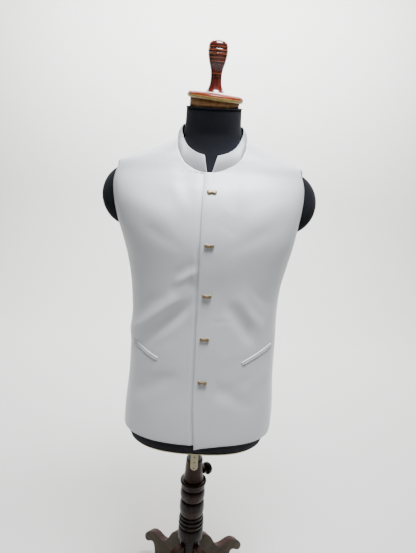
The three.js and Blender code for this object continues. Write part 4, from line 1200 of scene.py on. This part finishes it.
def jersey_form():
    """The torso, shoulders, neck and shoulder caps, made one smooth skin under its jersey."""
    caps = [ellipsoid((side * SHOULDER_CAP_X, *SHOULDER_CAP_YZ), SHOULDER_CAP_RADII) for side in (-1, 1)]
    torso = ring_mesh([form_ring(z) for z in TORSO_Z])
    verts, faces = joined([torso, ring_mesh(shoulder_rings()), ring_mesh(neck_rings()), *caps])
    body = make_object("jersey_form", verts, faces, [JERSEY])
    remesh = body.modifiers.new("join", "REMESH")
    remesh.mode = "VOXEL"
    remesh.voxel_size = BODY_VOXEL * MM
    remesh.use_smooth_shade = True
    relax = body.modifiers.new("relax", "SMOOTH")
    relax.factor = 0.5
    relax.iterations = 5
    settle(body)
    body.data.materials.clear()
    body.data.materials.append(JERSEY)
    body.data.shade_smooth()
    stands_in(body, "form_body", "form")


def tube_loop(name, points, radius, material, sides=10):
    """A thin closed cord along a loop of points."""
    n = len(points)
    tangent = unit(np.roll(points, -1, 0) - np.roll(points, 1, 0))
    side = unit(np.cross(tangent, (0, 0, 1)))
    up = np.cross(side, tangent)
    verts, faces = [], []
    for k in range(sides):
        turn = 2 * math.pi * k / sides
        verts += (points + side * math.cos(turn) * radius + up * math.sin(turn) * radius).tolist()
    for k in range(sides):
        m = (k + 1) % sides
        for i in range(n):
            j = (i + 1) % n
            faces.append((k * n + i, m * n + i, m * n + j, k * n + j))
    return make_object(name, verts, faces, [material])


def jersey_hems():
    """The rolled hems of the cover, round the top of the neck and the bottom of the torso."""
    neck = neck_ring(NECK_TOP_Z - 1.2, 63.1, 56.6, NECK_TOP_Y, NECK_TOP_TILT)
    bottom = form_ring(FORM_BOTTOM_Z + 2.2)
    bottom = bottom - unit(bottom * (1, 1, 0)) * 1.1
    for name, line, radius in (("neck_hem", neck, 1.5), ("bottom_hem", bottom, 1.6)):
        hem = tube_loop(name, line, radius, JERSEY)
        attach(hem, "form")


jersey_form()
jersey_hems()


# Board, neck cap, post and stand: turned profiles are lists of radius and height


def plate(name, outline, holes, low, high, materials, bevel=0.6):
    """A flat piece sawn or cut to an outline, lying level."""
    curve = bpy.data.curves.new(name, "CURVE")
    curve.dimensions = "2D"
    curve.fill_mode = "BOTH"
    for points in [outline, *holes]:
        spline = curve.splines.new("POLY")
        spline.points.add(len(points) - 1)
        for point, (x, y) in zip(spline.points, points):
            point.co = (x * MM, y * MM, 0, 1)
        spline.use_cyclic_u = True
    curve.extrude = (high - low) / 2 * MM
    maker = bpy.data.objects.new(name, curve)
    bpy.context.scene.collection.objects.link(maker)
    graph = bpy.context.evaluated_depsgraph_get()
    mesh = bpy.data.meshes.new_from_object(maker.evaluated_get(graph))
    bpy.data.objects.remove(maker)
    mesh.transform(Matrix.Translation((0, 0, (low + high) / 2 * MM)))
    mesh.materials.clear()
    for material in materials:
        mesh.materials.append(material)
    obj = bpy.data.objects.new(name, mesh)
    bpy.context.scene.collection.objects.link(obj)
    weld = obj.modifiers.new("weld", "WELD")
    weld.merge_threshold = 0.02 * MM
    settle(obj)
    if bevel:
        soften(obj, bevel, 40, 2)
        obj.data.set_sharp_from_angle(angle=math.radians(50))
    return obj


def circle(radius, count=64, centre=(0, 0)):
    turn = np.linspace(0, 2 * math.pi, count, endpoint=False)
    return np.stack([centre[0] + radius * np.cos(turn), centre[1] + radius * np.sin(turn)], 1)


def shift(x, y, z):
    return Matrix.Translation((x, y, z))


def spin(degrees, axis):
    return Matrix.Rotation(math.radians(degrees), 4, axis)


def paint_faces(obj, number_of):
    """Gives each face the material whose number a rule works out from the face."""
    obj.data.polygons.foreach_set("material_index", [number_of(face) for face in obj.data.polygons])


BOARD_INSET, BOARD_THICK = 6, 6


def base_board():
    ring = form_ring(FORM_BOTTOM_Z)
    reach = np.hypot(ring[:, 0], ring[:, 1])[:, None]
    outline = ring[:, :2] * (reach - BOARD_INSET) / reach
    top = FORM_BOTTOM_Z - SEAM_GAP
    board = plate("base_board", outline, [circle(BORE)], top - BOARD_THICK, top, [BOARD])
    stands_in(board, "form_base_board", "form")


PLUG_LOW_RADIUS, PLUG_RADIUS, PLUG_TOP = 56, 57, 10
DISC_BOTTOM, DISC_TOP = 10.3, 25
DISC_EDGE = ((61, DISC_BOTTOM), (64, 14.3), (64, 18), (62, 21.5), (57, 24))
DISC_RIM_TOP = 17.2
FINIAL_LIFT, FINIAL_LEAN = 1.6, 1.3
FINIAL_STEM = (
    (22, 0.4), (18, 5), (14.2, 14), (12.6, 24), (12.6, 36), (14, 47), (18.3, 61), (21.3, 75), (21.4, 79),
)
FINIAL_CROWN = ((21.3, 88), (20.9, 94), (18, 100), (11, 103.5), (0, 104.5))

# Bands on the finial: from and to height, and 1 for black or 2 for amber
FINIAL_BANDS = (
    (28, 30.5, 1), (34, 36.5, 1), (37, 39, 2), (58, 61, 1), (62, 64, 2), (65.5, 67, 1), (68, 70, 2),
    (71, 73.5, 1), (76, 78, 2), (81, 82.5, 1), (84, 85.5, 2), (87, 89.5, 1), (90.5, 92, 2), (93, 95, 1),
)


def neck_cap():
    """The raw plug, cut level under its lean, the lacquered disc and the turned finial."""
    neck = shift(0, NECK_TOP_Y, NECK_TOP_Z) @ spin(NECK_TOP_TILT, "X")
    cap = neck @ shift(0, 0, CAP_LIFT) @ spin(CAP_SIDE_TILT, "Y")
    plug = turned("wood_plug", [(0, 0), (PLUG_LOW_RADIUS, 0), (PLUG_RADIUS, PLUG_TOP), (0, PLUG_TOP)],
                  [RAW_WOOD], bevel=0)
    lean = math.radians(CAP_SIDE_TILT)
    for corner in plug.data.vertices:
        if corner.co.z < PLUG_TOP / 2 * MM:
            corner.co.z = ((SEAM_GAP - CAP_LIFT) * MM + corner.co.x * math.sin(lean)) / math.cos(lean)
    stands_in(mapped(plug, cap), "neck_plug", "form")

    profile = [(0, DISC_BOTTOM), (61, DISC_BOTTOM)] + curved(DISC_EDGE) + [(30, DISC_TOP), (0, DISC_TOP)]
    disc = turned("lacquered_disc", profile, [DISC_LACQUER, RIM_WOOD], bevel=0)
    paint_faces(disc, lambda face: int(face.center[2] / MM < DISC_RIM_TOP))
    stands_in(mapped(disc, cap), "neck_cap_disc", "form")

    profile = [(0, 0), (22, 0)] + curved(FINIAL_STEM) + bead(79, 87, 21, 1.1) + curved(FINIAL_CROWN)
    finial = turned("finial_turned", profile, [RED_LACQUER, BLACK_LACQUER, AMBER_LACQUER], bevel=0)
    paint_faces(finial, lambda face: next(
        (kind for low, high, kind in FINIAL_BANDS if low <= face.center[2] / MM < high), 0))
    place = neck @ shift(0, 0, CAP_LIFT + DISC_TOP + FINIAL_LIFT) @ spin(FINIAL_LEAN, "Y")
    stands_in(mapped(finial, place), "finial", "form")


POST_RADIUS, POST_BOTTOM_Z = 19, 242
STRAP_HALF_WIDTH, STRAP_THICK, STRAP_Y = 10, 2, -25
STRAP_END_Z = 419
STRAP_HOLE_RADIUS, STRAP_FIRST_HOLE_Z, STRAP_PITCH = 2.2, 415, 16
SOCKET_BOTTOM_Z, SOCKET_STEP_Z, SOCKET_TOP_Z = 366.6, 371.6, 428
SOCKET_RADIUS = 27
KNOB_Z, KNOB_TURN = 379, 40
KNOB_SHANK = ((0, 20.2), (4.6, 20.2), (4.6, 30), (9, 30))
KNOB_HEAD = ((9, 30), (10, 34), (9.5, 39), (15.5, 42.5), (16.5, 47), (15, 53), (10, 57), (0, 58))


def post_and_strap():
    top = FORM_BOTTOM_Z - SEAM_GAP
    profile = [(0, POST_BOTTOM_Z), (POST_RADIUS, POST_BOTTOM_Z), (POST_RADIUS, top), (0, top)]
    stands_in(turned("steel_post", profile, [STEEL]), "height_post", "post")

    top = FORM_BOTTOM_Z - BOARD_THICK - 2 * SEAM_GAP
    half = STRAP_HALF_WIDTH
    arc = np.linspace(math.pi, 2 * math.pi, 24)
    round_end = np.stack([half * np.cos(arc), STRAP_END_Z + half * np.sin(arc)], 1)
    outline = np.concatenate([[(-half, top)], round_end, [(half, top)]])
    heights = np.arange(STRAP_FIRST_HOLE_Z, top - 8, STRAP_PITCH)
    holes = [circle(STRAP_HOLE_RADIUS, 20, (0, z)) for z in heights]
    strap = plate("perforated_strap_cream", outline, holes, 0, STRAP_THICK, [CREAM], 0.3)
    place = shift(0, STRAP_Y, 0) @ spin(90, "X")
    stands_in(mapped(strap, place), "perforated_strap", "form")


def socket_and_knob():
    profile = [(BORE, SOCKET_BOTTOM_Z), (SOCKET_RADIUS, SOCKET_BOTTOM_Z), (SOCKET_RADIUS, SOCKET_STEP_Z)]
    profile += curved([(SOCKET_RADIUS, SOCKET_STEP_Z), (24.6, 385), (23.4, 405), (22, SOCKET_TOP_Z)])
    profile += [(BORE, SOCKET_TOP_Z), (BORE, SOCKET_BOTTOM_Z)]
    stands_in(turned("turned_socket", profile, [BROWN_WOOD]), "socket_collar", "stand")

    knob = turned("turned_knob", [*KNOB_SHANK, *curved(KNOB_HEAD)], [DARK_WOOD], bevel=0.4)
    place = shift(0, 0, KNOB_Z) @ spin(KNOB_TURN, "Z") @ spin(90, "Y")
    stands_in(mapped(knob, place), "clamp_knob", "knob")


RING_BOTTOM_Z, RING_TOP_Z = 357.3, 366.3
COLUMN_BOTTOM_Z, COLUMN_TOP_Z, COLUMN_BORE_Z = 227.3, 357, 234
BROWN_BARRELS = ((264, 284), (311, 330))
BROWN_COLLAR_Z = 345
HUB_PROFILE = (
    (0, 62), (9, 64), (17, 71), (19, 78), (26, 81), (29, 86), (29, 186), (31.5, 186),
    (34.5, 191), (34.5, 221), (31.5, 227), (0, 227),
)


def column_face(face):
    """1 on the column's brown barrels and collar, 0 on its dark turnings."""
    z = face.center[2] / MM
    return int(z > BROWN_COLLAR_Z or any(low < z < high for low, high in BROWN_BARRELS))


def column_and_hub():
    profile = [(BORE, RING_BOTTOM_Z)] + bead(RING_BOTTOM_Z, RING_TOP_Z, 32.5, 3)
    profile += [(BORE, RING_TOP_Z), (BORE, RING_BOTTOM_Z)]
    stands_in(turned("lacquer_ring", profile, [DARK_WOOD]), "column_ring", "stand")

    profile = [(0, COLUMN_BOTTOM_Z), (32, COLUMN_BOTTOM_Z)]
    profile += bead(229, 240, 31.7, 3) + bead(241.4, 252, 31.2, 3) + bead(253.3, 262, 30, 2.5)
    profile += bead(264, 308, 29.4, 4.4, 18) + [(28.8, 309)] + bead(310, 343, 29.4, 4.2, 16)
    profile += [(30, 344), (32.5, 346), (32.5, COLUMN_TOP_Z), (BORE, COLUMN_TOP_Z)]
    profile += [(BORE, COLUMN_BORE_Z), (0, COLUMN_BORE_Z)]
    column = turned("turned_column", profile, [DARK_WOOD, BROWN_WOOD])
    paint_faces(column, column_face)
    stands_in(column, "column", "stand")
    stands_in(turned("turned_hub", HUB_PROFILE, [DARK_WOOD], bevel=1.5), "hub", "stand")


def bezier(a, b, c, d, steps=14):
    t = np.linspace(0, 1, steps, endpoint=False)[:, None]
    a, b, c, d = (np.array(p, float) for p in (a, b, c, d))
    return a * (1 - t) ** 3 + 3 * b * t * (1 - t) ** 2 + 3 * c * t * t * (1 - t) + d * t**3


# A leg's outline from the hub to the foot: each curve's two guide points and its end
LEG_TOP = (29.3, 174)
LEG_CURVES = (
    ((47, 174), (64, 163), (73, 148)),
    ((89, 121), (96, 93), (130, 91)),
    ((150, 91), (162, 93), (178, 82)),
    ((200, 68), (214, 46), (204, 38)),
    ((194, 30), (182, 50), (165, 55)),
    ((154, 53), (150, 30), (150, 0)),
)
LEG_FOOT = (104, 0)
LEG_UNDERSIDE = ((98, 30), (55.3, 58), (29.3, 66))
LEG_HALF_THICK = 10
LEG_FIRST_TURN = 42


def legs():
    """Four boards sawn to one outline, stood on edge and turned about the hub."""
    parts = []
    place = LEG_TOP
    for first_guide, second_guide, end in LEG_CURVES:
        parts.append(bezier(place, first_guide, second_guide, end))
        place = end
    parts += [[place], bezier(LEG_FOOT, *LEG_UNDERSIDE), [LEG_UNDERSIDE[-1]]]
    outline = np.concatenate(parts)
    for count in range(4):
        leg = plate(f"sawn_leg_{count + 1}", outline, [], -LEG_HALF_THICK, LEG_HALF_THICK,
                    [LEG_FACE, LEG_EDGE], 1.2)
        paint_faces(leg, lambda face: int(abs(face.normal[2]) <= 0.7))
        place = spin(LEG_FIRST_TURN + 90 * count, "Z") @ spin(90, "X")
        stands_in(mapped(leg, place), f"leg_{count + 1}", "stand")


base_board()
neck_cap()
post_and_strap()
socket_and_knob()
column_and_hub()
legs()


# Camera, floor and light

CAMERA_PLACE = Vector((0.008, -1.02, 1.107))
CAMERA_PITCH = 10
CAMERA_ROLL = 3.3
CAMERA_LENS, CAMERA_SENSOR = 27.02, 36
pitch, roll = math.radians(CAMERA_PITCH), math.radians(CAMERA_ROLL)
forward = Vector((0, math.cos(pitch), -math.sin(pitch)))
straight_up = Vector((0, math.sin(pitch), math.cos(pitch)))
camera_up = straight_up * math.cos(roll) - Vector((1, 0, 0)) * math.sin(roll)
camera_right = Vector((1, 0, 0)) * math.cos(roll) + straight_up * math.sin(roll)
camera_data = bpy.data.cameras.new("photo camera")
camera_data.lens = CAMERA_LENS
camera_data.sensor_width = CAMERA_SENSOR
camera_data.clip_start = 0.02
camera = bpy.data.objects.new("photo camera", camera_data)
bpy.context.scene.collection.objects.link(camera)
look = Matrix.Identity(4)
for row in range(3):
    look[row][0], look[row][1], look[row][2] = camera_right[row], camera_up[row], -forward[row]
    look[row][3] = CAMERA_PLACE[row]
camera.matrix_world = look
bpy.context.scene.camera = camera

# The floor turns up into a backdrop through one round bend; its sizes are in metres
FLOOR = new_material("pale studio floor", "dedddb", 0.9)[0]
FLOOR_FRONT, FLOOR_BACK, BEND, BACKDROP_TOP, FLOOR_HALF_WIDTH = -4.0, 2.2, 1.2, 5.0, 7
sweep = [(FLOOR_FRONT, 0.0), (FLOOR_BACK, 0.0)]
for turn in np.linspace(0.1, math.pi / 2, 14):
    sweep.append((FLOOR_BACK + BEND * math.sin(turn), BEND - BEND * math.cos(turn)))
sweep.append((FLOOR_BACK + BEND, BACKDROP_TOP))
floor_verts = [(x, y, z) for y, z in sweep for x in (-FLOOR_HALF_WIDTH, FLOOR_HALF_WIDTH)]
floor_faces = [(2 * i, 2 * i + 1, 2 * i + 3, 2 * i + 2) for i in range(len(sweep) - 1)]
floor = make_object("studio_sweep", np.array(floor_verts) / MM, floor_faces, [FLOOR])


def area_light(name, place, aim, width, height, watts, color="ffffff"):
    """A rectangular lamp turned to its aim, in metres."""
    data = bpy.data.lights.new(name, "AREA")
    data.shape = "RECTANGLE"
    data.size = width
    data.size_y = height
    data.energy = watts
    data.color = hex_linear(color)[:3]
    lamp = bpy.data.objects.new(name, data)
    lamp.location = place
    lamp.rotation_euler = (Vector(aim) - Vector(place)).to_track_quat("-Z", "Y").to_euler()
    bpy.context.scene.collection.objects.link(lamp)


area_light("overhead", (0.16, -0.5, 2.3), (0, -0.12, 1.1), 0.7, 0.45, 68, "f4f6fc")
area_light("left soft box", (-2.2, -1.3, 1.5), (0, 0, 0.9), 0.9, 1.6, 1.3)
area_light("right soft box", (2.3, -1.2, 1.5), (0, 0, 0.9), 0.9, 1.6, 1.6)
area_light("backdrop wash", (0, 1.6, 3.4), (0, 3.6, 1.2), 4, 1, 420)
world = bpy.data.worlds.new("studio")
world.use_nodes = True
world.node_tree.nodes["Background"].inputs["Color"].default_value = (1, 1, 1, 1)
world.node_tree.nodes["Background"].inputs["Strength"].default_value = 0.06
bpy.context.scene.world = world
